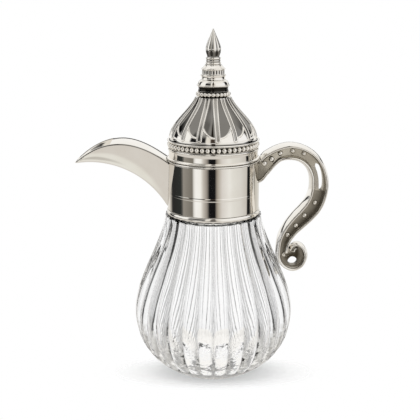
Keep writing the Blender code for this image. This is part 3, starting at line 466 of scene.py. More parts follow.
def grow(item, tree, values):
    """Run a tree on an object and keep the result as its plain mesh."""
    modifier = item.modifiers.new(tree.name, "NODES")
    modifier.node_group = tree
    for socket in tree.interface.items_tree:
        if socket.in_out == "INPUT" and socket.name in values:
            modifier[socket.identifier] = values[socket.name]
    return keep_mesh(item)


def rib_tree():
    """Press ribs into a turned body: each point moves in by the groove's depth at its angle."""
    tree, given = new_tree("glass_ribs", {"Ribs": float(RIB_COUNT), "Depth": RIB_DEPTH})
    place = add_node(tree, "GeometryNodeInputPosition").outputs[0]
    x, y, _ = add_node(tree, "ShaderNodeSeparateXYZ", {0: place}).outputs
    groove = number(tree, "ARCTAN2", y, x)
    for operation, *values in (("MULTIPLY", 1.0 / FULL_TURN), ("MULTIPLY", given["Ribs"]), ("FRACT",),
                               ("SUBTRACT", 0.5), ("ABSOLUTE",), ("MULTIPLY", 2.0 * RIB_FULLNESS),
                               ("POWER", 2.0), ("MULTIPLY_ADD", -1.0, 1.0), ("SQRT",),
                               ("MULTIPLY_ADD", -1.0, 1.0),
                               ("DIVIDE", 1.0 - math.sqrt(1.0 - RIB_FULLNESS ** 2))):
        groove = number(tree, operation, groove, *values)
    share = add_node(tree, "GeometryNodeInputNamedAttribute", {"Name": "rib_share"}, data_type="FLOAT")
    depth = number(tree, "MULTIPLY", groove, share.outputs["Attribute"])
    depth = number(tree, "MULTIPLY", depth, given["Depth"])
    flat = add_node(tree, "ShaderNodeCombineXYZ", {"X": x, "Y": y}).outputs[0]
    outwards = vector(tree, "NORMALIZE", {0: flat})[0]
    move = vector(tree, "SCALE", {0: outwards, "Scale": number(tree, "MULTIPLY", depth, -1.0)})[0]
    press = add_node(tree, "GeometryNodeSetPosition", {"Geometry": given["Geometry"], "Offset": move})
    return finish_tree(tree, press.outputs[0], given)


def glass_outer():
    """Crown line of the ribs, from the foot to the shoulder."""
    below = curve((FOOT_RADIUS, 0.0), (FOOT_RADIUS + FOOT_FLARE_OUT, FOOT_FLARE_UP),
                  (BELLY_RADIUS, BELLY_HEIGHT - BELLY_BELOW), (BELLY_RADIUS, BELLY_HEIGHT), BODY_ROWS)
    above = curve((BELLY_RADIUS, BELLY_HEIGHT), (BELLY_RADIUS, BELLY_HEIGHT + BELLY_ABOVE),
                  (SHOULDER_RADIUS + SHOULDER_LEAN, SHOULDER_HEIGHT - SHOULDER_RISE),
                  (SHOULDER_RADIUS, SHOULDER_HEIGHT), BODY_ROWS)
    return below + above[1:]


def glass_inner(outer):
    """Smooth inside of the wall, a wall's thickness square to the outer side."""
    inner = []
    for before, after in zip(outer, outer[2:]):
        along = Vector((after[0] - before[0], after[1] - before[1])).normalized()
        middle = ((before[0] + after[0]) * 0.5, (before[1] + after[1]) * 0.5)
        place = (middle[0] - GLASS_WALL * along.y, middle[1] + GLASS_WALL * along.x)
        if place[1] > GLASS_FLOOR + GLASS_FLOOR_CORNER and place[0] > NECK_BORE:
            inner.append(place)
    floor_edge = (GLASS_FLOOR_RADIUS, GLASS_FLOOR)
    slope = Vector((inner[1][0] - inner[0][0], inner[1][1] - inner[0][1])).normalized()
    pull = (inner[0][0] - slope.x * GLASS_FLOOR_CORNER, inner[0][1] - slope.y * GLASS_FLOOR_CORNER)
    corner = curve(floor_edge, (floor_edge[0] + GLASS_FLOOR_CORNER, GLASS_FLOOR), pull, inner[0], 10)
    return corner[:-1] + inner


def add_point_value(item, name, rule):
    """Store a number on each point of a mesh, from the point's place."""
    attribute = item.data.attributes.new(name, "FLOAT", "POINT")
    for point, cell in zip(item.data.vertices, attribute.data):
        cell.value = rule(point.co)


def stand_for(item, node, body):
    """A finished piece moves with its body and stands for a node of the solids."""
    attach(item, body)
    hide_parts(node)
    return item


glass = clear_glass()
neck_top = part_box("glass_body")[1].z
outer_side = glass_outer()
inner_side = glass_inner(outer_side)
glass_outline = [(0.0, FOOT_HOLLOW), (FOOT_HOLLOW_RADIUS * 0.6, FOOT_HOLLOW)]
glass_outline += [(FOOT_HOLLOW_RADIUS, FOOT_HOLLOW * 0.5), (FOOT_HOLLOW_RADIUS + FOOT_HOLLOW, 0.0)]
glass_outline += outer_side
glass_outline += [(NECK_RADIUS, SHOULDER_HEIGHT + 0.3 * MM), (NECK_RADIUS, neck_top - NECK_EDGE)]
glass_outline += [(NECK_RADIUS - NECK_EDGE, neck_top), (NECK_BORE + NECK_EDGE, neck_top)]
glass_outline += [(NECK_BORE, neck_top - NECK_EDGE), (NECK_BORE, SHOULDER_HEIGHT)]
glass_outline += inner_side[::-1]
glass_outline += [(GLASS_FLOOR_RADIUS * 0.5, GLASS_FLOOR - 0.3 * MM), (0.0, GLASS_FLOOR - 0.4 * MM)]
jug_glass = lathe("jug_glass", glass_outline, RIB_COUNT * SIDES_PER_RIB, glass, hold=False)


def rib_share(place):
    """How much of the rib's depth a point takes: full outside, none inside or under the foot."""
    radius = math.hypot(place.x, place.y)
    outside = value_at([(height, reach) for reach, height in outer_side], place.z)
    under = radius < FOOT_RADIUS - 1.0 * MM
    if radius < outside - 0.5 * MM or place.z > SHOULDER_HEIGHT + 0.1 * MM or under:
        return 0.0
    return radius / BELLY_RADIUS


add_point_value(jug_glass, "rib_share", rib_share)
grow(jug_glass, rib_tree(), {"Ribs": float(RIB_COUNT), "Depth": RIB_DEPTH, "Material": glass})
shade_mesh(jug_glass.data)
stand_for(jug_glass, "glass_body", "jug")

# A white plastic band is bonded round the glass neck, and a clear silicone ring lies on its mouth.
# The metal collar is pushed over both, so that no metal bears on glass.
TURNED_SIDES = 128
CLOUD_STOPS = (0.3, 0.7)
NECK_ROOM = 0.3 * MM
PLASTIC_COLOURS = ((0.78, 0.78, 0.76), (0.84, 0.84, 0.82))
PLASTIC_CLOUDS = (40.0, 2.0)
PLASTIC_GRAIN = (2500.0, 2.0)
PLASTIC_GRAIN_DEPTH = 0.02 * MM
PLASTIC_ROUGHNESS = (0.38, 0.52)
SILICONE_COLOURS = ((0.72, 0.72, 0.70), (0.80, 0.80, 0.78))
SILICONE_CLOUDS = (120.0, 2.0)
SILICONE_ROUGHNESS = (0.40, 0.60)
SILICONE_CLARITY = 0.35
SILICONE_IOR = 1.41


def clouded(tree, clouds, dark, light):
    """Two near colours in soft clouds."""
    return colour_ramp(tree, clouds, list(zip(CLOUD_STOPS, (dark, light))))


def moulded_plastic():
    """White food-grade plastic with the fine grain of its mould."""
    material, tree = new_material("white_plastic")
    grain = noise(tree, *PLASTIC_GRAIN)
    shade(tree, {"Base Color": clouded(tree, noise(tree, *PLASTIC_CLOUDS), *PLASTIC_COLOURS),
                 "Roughness": stretched(tree, grain, *PLASTIC_ROUGHNESS),
                 "Normal": bump(tree, grain, PLASTIC_GRAIN_DEPTH)})
    return material


def clear_silicone():
    """Milky silicone rubber, dull and a little see-through."""
    material, tree = new_material("clear_silicone")
    cloud = noise(tree, *SILICONE_CLOUDS)
    shade(tree, {"Base Color": clouded(tree, cloud, *SILICONE_COLOURS), "IOR": SILICONE_IOR,
                 "Roughness": stretched(tree, cloud, *SILICONE_ROUGHNESS),
                 "Transmission Weight": SILICONE_CLARITY})
    return material


def softened(outline, size, steps=3):
    """Round each corner of a closed outline, by less where its sides are short."""
    points = []
    count = len(outline)
    for i, corner in enumerate(outline):
        here = Vector(corner)
        before = Vector(outline[i - 1]) - here
        after = Vector(outline[(i + 1) % count]) - here
        reach = min(size, 0.45 * before.length, 0.45 * after.length)
        straight = before.length == 0.0 or after.length == 0.0 or before.angle(after) > math.radians(160.0)
        if corner[0] <= 0.0 or straight:
            points.append(corner)
            continue
        start = here + before.normalized() * reach
        end = here + after.normalized() * reach
        for step in range(steps + 1):
            t = step / steps
            place = start * (1.0 - t) ** 2 + here * 2.0 * t * (1.0 - t) + end * t * t
            points.append(tuple(place))
    return points


def tube_outline(inner, outer, foot, top):
    return [(inner, foot), (outer, foot), (outer, top), (inner, top)]


def turned_for(node, name, outline, material, body, soft=0.3 * MM, relief=None, sides=TURNED_SIDES):
    """A turned piece that stands for a node of the solids."""
    item = lathe(name, softened(outline, soft) if soft else outline, sides, material, relief)
    return stand_for(item, node, body)


plastic = moulded_plastic()
silicone = clear_silicone()
low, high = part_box("neck_band")
turned_for("neck_band", "bonded_band", tube_outline(NECK_RADIUS + NECK_ROOM, high.x, low.z, high.z),
           plastic, "jug")
low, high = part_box("neck_seal")
turned_for("neck_seal", "mouth_seal", tube_outline(NECK_BORE + NECK_ROOM, high.x, low.z, high.z),
           silicone, "jug", 0.8 * MM)

# The collar is a drawn tube, plated and polished like a mirror, with a faint rolled bead that
# grips the liner inside. A half-round ring closes its foot and a thin ring its rim, and the
# tube is cut open behind the spout.
COLLAR_RADIUS = 39.4 * MM
COLLAR_BORE = 38.2 * MM
LINER_BORE = 36.3 * MM
SWAGE_HALF = 1.4 * MM
SWAGE_PROUD = 0.045 * MM
WINDOW_HALF_WIDTH = 10.0 * MM
WINDOW_FOOT = 166.7 * MM
WINDOW_TOP = 183.5 * MM
WINDOW_DEPTH = 12.0 * MM
HANDLE_WIDTH = 21.0 * MM
SCREW_HEIGHT = 184.5 * MM
SCREW_ANGLE = math.asin(0.25 * HANDLE_WIDTH / COLLAR_RADIUS)
SCREW_RADIUS = 1.5 * MM
SCREW_HEAD_RADIUS = 2.5 * MM
SCREW_ROOM = 0.3 * MM
SCREW_HOLE_START = LINER_BORE - 3.0 * MM
SCREW_HOLE_STEP = COLLAR_BORE - 0.1 * MM
SCREW_HOLE_END = COLLAR_BORE + 7.2 * MM
METAL_COLOURS = ((0.85, 0.82, 0.77), (0.90, 0.88, 0.84))
METAL_CLOUDS = (55.0, 3.0)
METAL_WIPES = (320.0, 4.0, (1.0, 1.0, 0.25))
METAL_ROUGHNESS = (0.015, 0.05, 0.35, 0.75)
METAL_WAVES = (45.0, 1.0)
METAL_WAVE_DEPTH = 0.02 * MM
# Patina in the hollows, made dark enough to stand in for painted shade there as well.
PATINA_AND_SHADE = (0.020, 0.018, 0.015, 1.0)


def mirror_nickel():
    """Nickel-chrome plate: mirror polish with faint clouds. Patina and painted shade darken the hollows
    that a piece marks, and painted shade alone darkens the spout's rims.
    """
    material, tree = new_material("mirror_nickel")
    plate = clouded(tree, noise(tree, *METAL_CLOUDS), *METAL_COLOURS)
    grooves = add_node(tree, "ShaderNodeAttribute", attribute_name="patina_and_shade").outputs["Fac"]
    shade(tree, {"Metallic": 1.0, "Base Color": mix_colours(tree, grooves, plate, PATINA_AND_SHADE),
                 "Roughness": stretched(tree, noise(tree, *METAL_WIPES), *METAL_ROUGHNESS),
                 "Normal": bump(tree, noise(tree, *METAL_WAVES), METAL_WAVE_DEPTH)})
    return material


def plated(node, name, outline, body, soft=0.0, relief=None, sides=TURNED_SIDES):
    """A turned piece of plated metal."""
    return turned_for(node, name, outline, nickel, body, soft, relief, sides)


def half_round(inner, outer, foot, top, steps=10):
    """The outer side of a ring as a flattened half circle, from foot to top."""
    middle = 0.5 * (foot + top)
    half = 0.5 * (top - foot)
    points = []
    for step in range(steps + 1):
        angle = math.pi * (step / steps - 0.5)
        points.append((inner + (outer - inner) * math.cos(angle), middle + half * math.sin(angle)))
    return points


def ring_outline(node, inner, bore):
    """A ring piece of the solids with a rounded outer side and a plain bore."""
    low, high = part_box(node)
    return half_round(inner, high.x, low.z, high.z) + [(bore, high.z), (bore, low.z)]


def combine(item, operation, tools):
    """Cut tools out of a piece or unite it with them, and remove the tools."""
    for tool in tools:
        modifier = item.modifiers.new("combine", "BOOLEAN")
        modifier.operation = operation
        modifier.solver = "EXACT"
        modifier.object = tool
    shade_mesh(keep_mesh(item).data)
    for tool in tools:
        bpy.data.objects.remove(tool)
    return item


def cut_away(item, *cutters):
    return combine(item, "DIFFERENCE", cutters)


def block(name, size, place, material):
    """A plain block to cut with."""
    shape = bmesh.new()
    bmesh.ops.create_cube(shape, size=1.0)
    bmesh.ops.scale(shape, verts=shape.verts, vec=size)
    bmesh.ops.translate(shape, verts=shape.verts, vec=place)
    return new_object(name, shape, material)


def window_cutter(material):
    """The opening between the collar's chamber and the spout."""
    size = (WINDOW_DEPTH, 2.0 * WINDOW_HALF_WIDTH, WINDOW_TOP - WINDOW_FOOT)
    return block("window_cutter", size, (-COLLAR_BORE, 0.0, 0.5 * (WINDOW_TOP + WINDOW_FOOT)), material)


def lay_outwards(item, angle, height):
    """Tip a piece made along Z so that it points out from the jug's axis, in its mesh."""
    turn = Matrix.Rotation(angle, 4, "Z") @ Matrix.Rotation(0.5 * math.pi, 4, "Y")
    item.data.transform(Matrix.Translation((0.0, 0.0, height)) @ turn)
    return item


def screw_hole(angle, material):
    """A stepped hole for a handle screw, from the chamber outwards."""
    head = SCREW_HEAD_RADIUS + SCREW_ROOM
    shank = SCREW_RADIUS + SCREW_ROOM
    outline = [(0.0, SCREW_HOLE_START), (head, SCREW_HOLE_START), (head, SCREW_HOLE_STEP),
               (shank, SCREW_HOLE_STEP), (shank, SCREW_HOLE_END), (0.0, SCREW_HOLE_END)]
    return lay_outwards(lathe("screw_hole", outline, 32, material), angle, SCREW_HEIGHT)


def screw_holes(material):
    return [screw_hole(angle, material) for angle in (-SCREW_ANGLE, SCREW_ANGLE)]


nickel = mirror_nickel()
base_ring = ring_outline("collar_base_ring", COLLAR_RADIUS, COLLAR_BORE)
plated("collar_base_ring", "base_ring", base_ring, "jug")

low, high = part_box("collar_shell")
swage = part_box("collar_liner")[0].z
collar_side = [(COLLAR_RADIUS, low.z), (COLLAR_RADIUS, swage - SWAGE_HALF)]
collar_side += curve((COLLAR_RADIUS, swage - SWAGE_HALF),
                     (COLLAR_RADIUS + 1.4 * SWAGE_PROUD, swage - 0.4 * SWAGE_HALF),
                     (COLLAR_RADIUS + 1.4 * SWAGE_PROUD, swage + 0.4 * SWAGE_HALF),
                     (COLLAR_RADIUS, swage + SWAGE_HALF), 8)[1:]
collar_side += [(COLLAR_RADIUS, high.z), (COLLAR_BORE, high.z), (COLLAR_BORE, low.z)]
collar_tube = plated("collar_shell", "collar_tube", collar_side, "jug", 0.15 * MM)
cut_away(collar_tube, window_cutter(nickel), *screw_holes(nickel))

rim_ring = ring_outline("collar_rim_ring", COLLAR_RADIUS, LINER_BORE)
plated("collar_rim_ring", "rim_ring", rim_ring, "jug")

# The liner is a white plastic cup without a floor, pressed into the collar. Its inner flange
# lies on the silicone ring, and its wall carries the heads of the handle's screws.
LINER_SHELF = 1.6 * MM
low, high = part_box("collar_liner")
liner_outline = [(NECK_BORE, low.z), (high.x, low.z), (high.x, high.z), (LINER_BORE, high.z),
                 (LINER_BORE, low.z + LINER_SHELF), (NECK_BORE, low.z + LINER_SHELF)]
liner = turned_for("collar_liner", "chamber_liner", liner_outline, plastic, "jug",
                   0.35 * MM)
cut_away(liner, window_cutter(plastic), *screw_holes(plastic))

# The spout is a trough of sheet metal, bent to a deep U and soldered over the window. Its rims
# rise in one arch from the lid's edge and come down to a rounded beak.
SPOUT_LENGTH = 78.8 * MM
SPOUT_TIP_DROP = 1.4 * MM
SPOUT_WALL = 1.2 * MM
SPOUT_ROOT_HALF_WIDTH = 13.2 * MM
SPOUT_MOUTH_HALF_WIDTH = 18.2 * MM
SPOUT_TIP_ROUND = 9.0 * MM
SPOUT_TIP_NARROWING = 0.5 * MM
SPOUT_SWELL_SHARE = 0.65
SPOUT_KEEL_FULLNESS = 2.4
SPOUT_LEAN = 0.18
SPOUT_LEAST_SLOPE = 0.125
RIM_LINE = 0.7 * MM
SPOUT_RIM_ROUND = 0.85 * MM
SPOUT_INNER_ROUND = 0.3 * MM
SPOUT_CURVE_STEPS = 160
# Painted shade under the rolled rims and along the top of the far inner wall.
RIM_SHADE = 0.8
RIM_BESIDE = 0.6 * MM
SPOUT_END = -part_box("spout_trough")[0].x - 0.05 * MM
RIM_ROOT_INSIDE = 3.0 * MM
RIM_ROOT_DROP = 0.5 * MM
RIM_START_PULL = (29.1 * MM, 21.2 * MM)
RIM_END_PULL = (-29.0 * MM, 26.9 * MM)
KEEL_START_PULL = (10.6 * MM, 18.8 * MM)
KEEL_END_PULL = (-43.4 * MM, 4.7 * MM)
SPOUT_LIP = 0.4 * MM
SPOUT_REACH = COLLAR_RADIUS + SPOUT_LENGTH
SPOUT_STATIONS = 72
SPOUT_CROWDING = 1.6
SPOUT_SIDES = 44
ROOM_BESIDE_COLLAR = 0.06 * MM
LID_ROOM_RADIUS = 40.3 * MM
LID_ROOM_FOOT = 188.9 * MM
LID_ROOM_TOP = 260.0 * MM
COLLAR_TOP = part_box("collar_shell")[1].z
COLLAR_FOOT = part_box("collar_shell")[0].z
CUT_OVERRUN = 6.0 * MM


def plus(place, pull):
    return (place[0] + pull[0], place[1] + pull[1])


def spout_curves():
    """Rim and keel seen from the side, as (distance from the axis, height)."""
    tip = (SPOUT_REACH, COLLAR_TOP - SPOUT_TIP_DROP)
    rim_root = (COLLAR_RADIUS - RIM_ROOT_INSIDE, COLLAR_TOP - RIM_ROOT_DROP)
    rim_end = plus(tip, (0.0, SPOUT_LIP))
    rim = curve(rim_root, plus(rim_root, RIM_START_PULL), plus(tip, RIM_END_PULL), rim_end,
                SPOUT_CURVE_STEPS)
    keel_root = (COLLAR_RADIUS, COLLAR_FOOT + SCREW_ROOM)
    keel = curve(keel_root, plus(keel_root, KEEL_START_PULL), plus(tip, KEEL_END_PULL), tip,
                 SPOUT_CURVE_STEPS)
    return rim, keel


def spout_half_width(distance):
    """Half the spout's width, seen from above, with its rounded end."""
    along = max(0.0, distance - COLLAR_RADIUS) / SPOUT_LENGTH
    swell = min(1.0, along / SPOUT_SWELL_SHARE)
    swell = swell * swell * (3.0 - 2.0 * swell)
    width = SPOUT_ROOT_HALF_WIDTH + (SPOUT_MOUTH_HALF_WIDTH - SPOUT_ROOT_HALF_WIDTH) * swell
    width -= SPOUT_TIP_NARROWING * along ** 4
    left = SPOUT_REACH - distance
    if left < SPOUT_TIP_ROUND:
        share = max(0.0, 1.0 - left / SPOUT_TIP_ROUND)
        width *= math.sqrt(1.0 - share * share)
    return width


def spout_stations():
    """Distances from the axis, closer together towards the rounded tip."""
    start = COLLAR_RADIUS - CUT_OVERRUN
    shares = [(1.0 - i / SPOUT_STATIONS) ** SPOUT_CROWDING for i in range(SPOUT_STATIONS)]
    return [SPOUT_END - (SPOUT_END - start) * share for share in shares]


def keel_points(half_width, floor, top):
    """The U below a height, from one wall round the keel to the other, as (across, height)."""
    power = 2.0 / SPOUT_KEEL_FULLNESS
    lean = max(SPOUT_LEAN, SPOUT_LEAST_SLOPE * (top - floor) / half_width)
    points = []
    for i in range(SPOUT_SIDES + 1):
        angle = math.pi * i / SPOUT_SIDES
        across = math.copysign(abs(math.cos(angle)) ** power, math.cos(angle))
        down = max(0.0, math.sin(angle)) ** power
        leaned = across * (1.0 - lean) + math.copysign(1.0 - down, across) * lean
        points.append((-half_width * leaned, top - (top - floor) * down))
    return points


def lined_keel(half_width, floor, top, line):
    """The U with a point on each wall a little below its top, where the rim's painted shade line ends."""
    keel = keel_points(half_width, floor, top)
    keel[1:1] = [(-half_width, top - line)]
    keel[-1:-1] = [(half_width, top - line)]
    return keel


def trough_loop(distance, half_width, floor, top):
    """Outside of the trough with rounded rims."""
    soft = min(SPOUT_RIM_ROUND, 0.3 * (top - floor), 0.3 * half_width)
    corner = []
    for step in range(4):
        angle = 0.5 * math.pi * step / 4
        corner.append((half_width - soft + soft * math.sin(angle), top - soft + soft * math.cos(angle)))
    left = [(-across, height) for across, height in corner]
    keel = lined_keel(half_width, floor, top - soft, min(RIM_LINE - 0.4 * MM, 0.05 * (top - floor)))
    loop = left + keel + corner[::-1]
    return [(-distance, across, height) for across, height in loop]


def channel_loop(distance, half_width, floor, top):
    """Inside of the trough, with its walls carried up past the rim and opened a little there."""
    soft = min(SPOUT_INNER_ROUND, 0.4 * (top - floor))
    above = top + CUT_OVERRUN
    opened = half_width + 0.7 * soft
    loop = [(-opened, above), (-opened, top), (-half_width - 0.2 * soft, top - 0.4 * soft)]
    loop += lined_keel(half_width, floor, top - soft, min(RIM_LINE, 0.07 * (top - floor)))
    loop += [(half_width + 0.2 * soft, top - 0.4 * soft), (opened, top), (opened, above)]
    return [(-distance, across, height) for across, height in loop]


def loft(name, loops, material):
    """Join a row of closed loops, each with the same number of points, and cap both ends."""
    shape = bmesh.new()
    rows = [[shape.verts.new(place) for place in loop] for loop in loops]
    for near, far in zip(rows, rows[1:]):
        for i in range(len(near)):
            j = (i + 1) % len(near)
            shape.faces.new((near[i], near[j], far[j], far[i]))
    shape.faces.new(rows[0])
    shape.faces.new(rows[-1])
    return new_object(name, shape, material)


def slope_factor(line, distance):
    """How much longer a wall's upright thickness is than its true thickness."""
    step = 0.5 * MM
    rise = value_at(line, distance + step) - value_at(line, distance - step)
    return math.hypot(1.0, rise / (2.0 * step))


def collar_cutter(material):
    """The room of the collar and of the lid's edge above it."""
    outline = [(0.0, 0.0), (COLLAR_RADIUS + ROOM_BESIDE_COLLAR, 0.0),
               (COLLAR_RADIUS + ROOM_BESIDE_COLLAR, LID_ROOM_FOOT), (LID_ROOM_RADIUS, LID_ROOM_FOOT),
               (LID_ROOM_RADIUS, LID_ROOM_TOP), (0.0, LID_ROOM_TOP)]
    return lathe("collar_cutter", outline, 2 * TURNED_SIDES, material)


rim_line, keel_line = spout_curves()
outer_loops = []
channel_loops = []
for distance in spout_stations():
    half = spout_half_width(distance)
    floor_height = value_at(keel_line, distance)
    rim_height = value_at(rim_line, distance)
    outer_loops.append(trough_loop(distance, half, floor_height, rim_height))
    inside_floor = floor_height + SPOUT_WALL * slope_factor(keel_line, distance)
    if half > 2.0 * SPOUT_WALL and rim_height > inside_floor + 0.2 * MM:
        channel_loops.append(channel_loop(distance, half - SPOUT_WALL, inside_floor, rim_height))
channel_loops[0] = [(x + CUT_OVERRUN, y, z) for x, y, z in channel_loops[0]]
spout = loft("spout", outer_loops, nickel)
cut_away(spout, loft("channel_cutter", channel_loops, nickel), collar_cutter(nickel))


def rim_shade(place):
    """Painted shade: a dark line under the rolled rims and along the top of the far inner wall."""
    distance = -place.x
    below = value_at(rim_line, distance) - place.z
    beside = spout_half_width(distance) - abs(place.y)
    outside = beside < RIM_BESIDE and 0.2 * MM < below < SPOUT_RIM_ROUND + 0.1 * MM
    inside = beside >= RIM_BESIDE and 0.1 * MM < below < RIM_LINE and place.y > 0.0
    return RIM_SHADE if distance < SPOUT_END - 2.0 * MM and (outside or inside) else 0.0


add_point_value(spout, "patina_and_shade", rim_shade)
stand_for(spout, "spout_trough", "jug")

# An arched strip of the same sheet bridges the root of the trough, so that the drink runs under
# it and the lid's edge stays dry. It is soldered between the walls.
COVER_LENGTH = 46.6 * MM
COVER_THICKNESS = 1.0 * MM
COVER_CROWN = 0.8 * MM
COVER_SIDES = 28
COVER_STATIONS = 48


def cover_loop(distance, half_width, edge_height):
    """The top side from edge to edge, then the underside back."""
    shares = [math.sin(math.pi * (i / COVER_SIDES - 0.5)) for i in range(COVER_SIDES + 1)]
    arch = [(share * half_width, edge_height + COVER_CROWN * (1.0 - share * share)) for share in shares]
    upper = [(-distance, y, z) for y, z in arch]
    lower = [(-distance, y, z - COVER_THICKNESS) for y, z in reversed(arch)]
    return upper + lower


cover_start = COLLAR_RADIUS - CUT_OVERRUN
cover_loops = []
for station in range(COVER_STATIONS + 1):
    distance = cover_start + (COVER_LENGTH + CUT_OVERRUN) * station / COVER_STATIONS
    half = spout_half_width(distance) - SPOUT_WALL - 0.1 * MM
    cover_loops.append(cover_loop(distance, half, value_at(rim_line, distance)))
cover = cut_away(loft("spout_bridge", cover_loops, nickel), collar_cutter(nickel))
stand_for(cover, "spout_cover", "jug")

# The handle is one casting: a bar of I-section with rounded rims, a sunk web that carries a row
# of small bosses on each face, a long slot and a curled end. The web has a darker skin, toned
# partly as painted shade, with more painted shade at the root, down the lower limb, round the
# bosses and in its corners.
HANDLE_CROWN = 1.2 * MM
HANDLE_RIM = 2.2 * MM
HANDLE_RIM_SHARE = 0.6
HANDLE_RECESS = 2.0 * MM
HANDLE_DEEP_RECESS = 6.0 * MM
HANDLE_DEEP_FROM = 3.0
HANDLE_DEEP_BY = 5.0
HANDLE_DRAFT = 0.6 * MM
HANDLE_TAPER_FROM = 17.0
HANDLE_END_WIDTH = 9.0 * MM
HANDLE_EDGE = 0.9 * MM
HANDLE_STEPS = 8
HANDLE_ROOT_BLEND = 11.0 * MM
HANDLE_END_ROWS = 16
HANDLE_GLASS_GAP = 0.4 * MM
HANDLE_LINE_MM = (
    (-6.4, -8.3, 19.4), (0.1, -7.9, 19.2), (4.4, -3.3, 15.4), (9.4, 2.0, 12.8),
    (16.6, 6.5, 11.4), (25.9, 8.3, 12.2), (35.8, 6.3, 12.2), (44.2, 0.5, 12.8),
    (49.6, -8.5, 13.4), (51.5, -19.3, 14.2), (50.4, -29.5, 14.0), (46.8, -38.4, 14.0),
    (41.0, -45.9, 13.6), (34.2, -52.9, 12.9), (27.7, -60.4, 11.3), (22.9, -69.0, 9.9),
    (21.1, -78.1, 8.8), (21.6, -85.1, 9.2), (24.7, -90.4, 8.4), (30.0, -93.1, 7.8),
    (35.4, -90.8, 8.6), (38.2, -84.5, 8.6), (37.0, -78.6, 6.8), (33.9, -76.0, 4.8),
    (31.2, -77.1, 4.4), (30.1, -79.5, 4.8),
)
SLOT_STATIONS = (7.4, 9.6)
SLOT_OFFSET = 1.4 * MM
SLOT_WIDTH = 3.9 * MM
BOSS_PLACES_MM = (
    (3.9, -1.1), (9.9, 2.6), (17.3, 7.2), (27.9, 9.0), (37.6, 6.8), (48.3, -36.2),
    (39.5, -47.5), (32.2, -56.6), (25.2, -65.0), (22.5, -82.9),
)
BOSS_RADIUS = 2.2 * MM
BOSS_PROUD = 1.7 * MM
# Below this share of a boss's height, its foot takes a painted shadow.
BOSS_DARK_SHARE = 0.5
WEB_LINE = 0.5 * MM
# Painted shade on the web: darker down the lower limb, more on its outer side, and towards the root.
LOW_LIMB_FROM = 9.6
LOW_LIMB_SHADE = 1.6
LOW_LIMB_LEAN = 0.45
ROOT_WEB_SHADE = 1.12
ROOT_SHADE = 0.5
ROOT_SHADE_END = 2.6
SCROLL_FROM = 16.0
SCROLL_TO = 23.4
SCROLL_LEVEL = 3.2 * MM
SCROLL_PLATE_HALF = 3.02 * MM
SCROLL_PLATE_PLACE = (69.6 * MM, 104.6 * MM)
SCROLL_PLATE_RADIUS = 7.6 * MM
SCROLL_EYE_PLACE = (69.45 * MM, 100.6 * MM)
SCROLL_EYE_SIZE = (4.2 * MM, 4.0 * MM)
SLOT_SIDE_DARK = 0.5
# Painted shade on the scroll plate's edge, in the web's corners and round the feet of the bosses.
PLATE_EDGE_SHADE = 1.9
CORNER_SHADE = 1.8
BOSS_FOOT_SHADOW = 2.0
CAST_CLOUDS = (90.0, 4.0)
CAST_GRAIN = (900.0, 3.0)
CAST_GRAIN_DEPTH = 0.02 * MM
CAST_ROUGHNESS = (0.05, 0.45)
# The web's colour: partly the casting's darker skin, partly painted shade.
WEB_SKIN_AND_SHADE = ((0.56, 0.52, 0.44), (0.72, 0.68, 0.59))
WEB_SHADE = (0.045, 0.034, 0.018, 1.0)


def cast_nickel():
    """The casting's plate: bright on the rims, a darker, grainy skin in the sunk web that is partly painted
    shade, and deeper painted shade where the web mark goes above one.
    """
    material, tree = new_material("cast_nickel")
    web = add_node(tree, "ShaderNodeAttribute", attribute_name="web").outputs["Fac"]
    clouds = noise(tree, *CAST_CLOUDS)
    bright = clouded(tree, clouds, *METAL_COLOURS)
    skin = mix_colours(tree, stretched(tree, web, 0.0, 1.0), bright, clouded(tree, clouds, *WEB_SKIN_AND_SHADE))
    # Web marks above one mix in painted shade.
    colour = mix_colours(tree, stretched(tree, web, 0.0, 0.95, 1.0, 2.0), skin, WEB_SHADE)
    shade(tree, {"Metallic": 1.0, "Base Color": colour, "Roughness": stretched(tree, web, *CAST_ROUGHNESS),
                 "Normal": bump(tree, noise(tree, *CAST_GRAIN), CAST_GRAIN_DEPTH)})
    return material


def smooth_line(points, steps):
    """A smooth line through points of any size, with the ends kept."""
    line = []
    last = len(points) - 1
    for i in range(last):
        a, b, c, d = (Vector(points[max(0, min(last, i + k))]) for k in (-1, 0, 1, 2))
        for step in range(steps):
            t = step / steps
            line.append(0.5 * (2.0 * b + (c - a) * t + (2.0 * a - 5.0 * b + 4.0 * c - d) * t * t
                               + (3.0 * b - a - 3.0 * c + d) * t ** 3))
    line.append(Vector(points[last]))
    return line


def handle_line():
    """The centre line as (x, height, depth), leaned so that the scroll clears the glass."""
    line = [point * MM for point in smooth_line(HANDLE_LINE_MM, HANDLE_STEPS)]
    placed = [(COLLAR_RADIUS + out, COLLAR_TOP + up, depth) for out, up, depth in line]
    side = [(height, radius) for radius, height in outer_side]
    gaps = [x - 0.5 * depth - HANDLE_CROWN - value_at(side, z)
            for x, z, depth in placed if z < SHOULDER_HEIGHT]
    lean = HANDLE_GLASS_GAP - min(gaps)
    last = len(placed) - 1
    return [(x + lean * min(1.0, 2.0 * i / last), z, depth) for i, (x, z, depth) in enumerate(placed)]


def bar_frames(line):
    """For each point of a line in the XZ plane: the point and the direction across it."""
    frames = []
    last = len(line) - 1
    for i, point in enumerate(line):
        before = line[max(0, i - 1)]
        after = line[min(last, i + 1)]
        along = Vector((after[0] - before[0], after[1] - before[1])).normalized()
        frames.append((point, Vector((-along.y, along.x))))
    return frames


def ease(value, width):
    """Nought to one over a width, smoothly."""
    share = max(0.0, min(1.0, value / width))
    return share * share * (3.0 - 2.0 * share)


def bar_web(half, recess):
    """Width of the rims and of the drafted walls between rim and web."""
    rim = min(HANDLE_RIM, HANDLE_RIM_SHARE * half)
    return rim, min(HANDLE_DRAFT, 0.3 * recess, 0.4 * (half - rim))


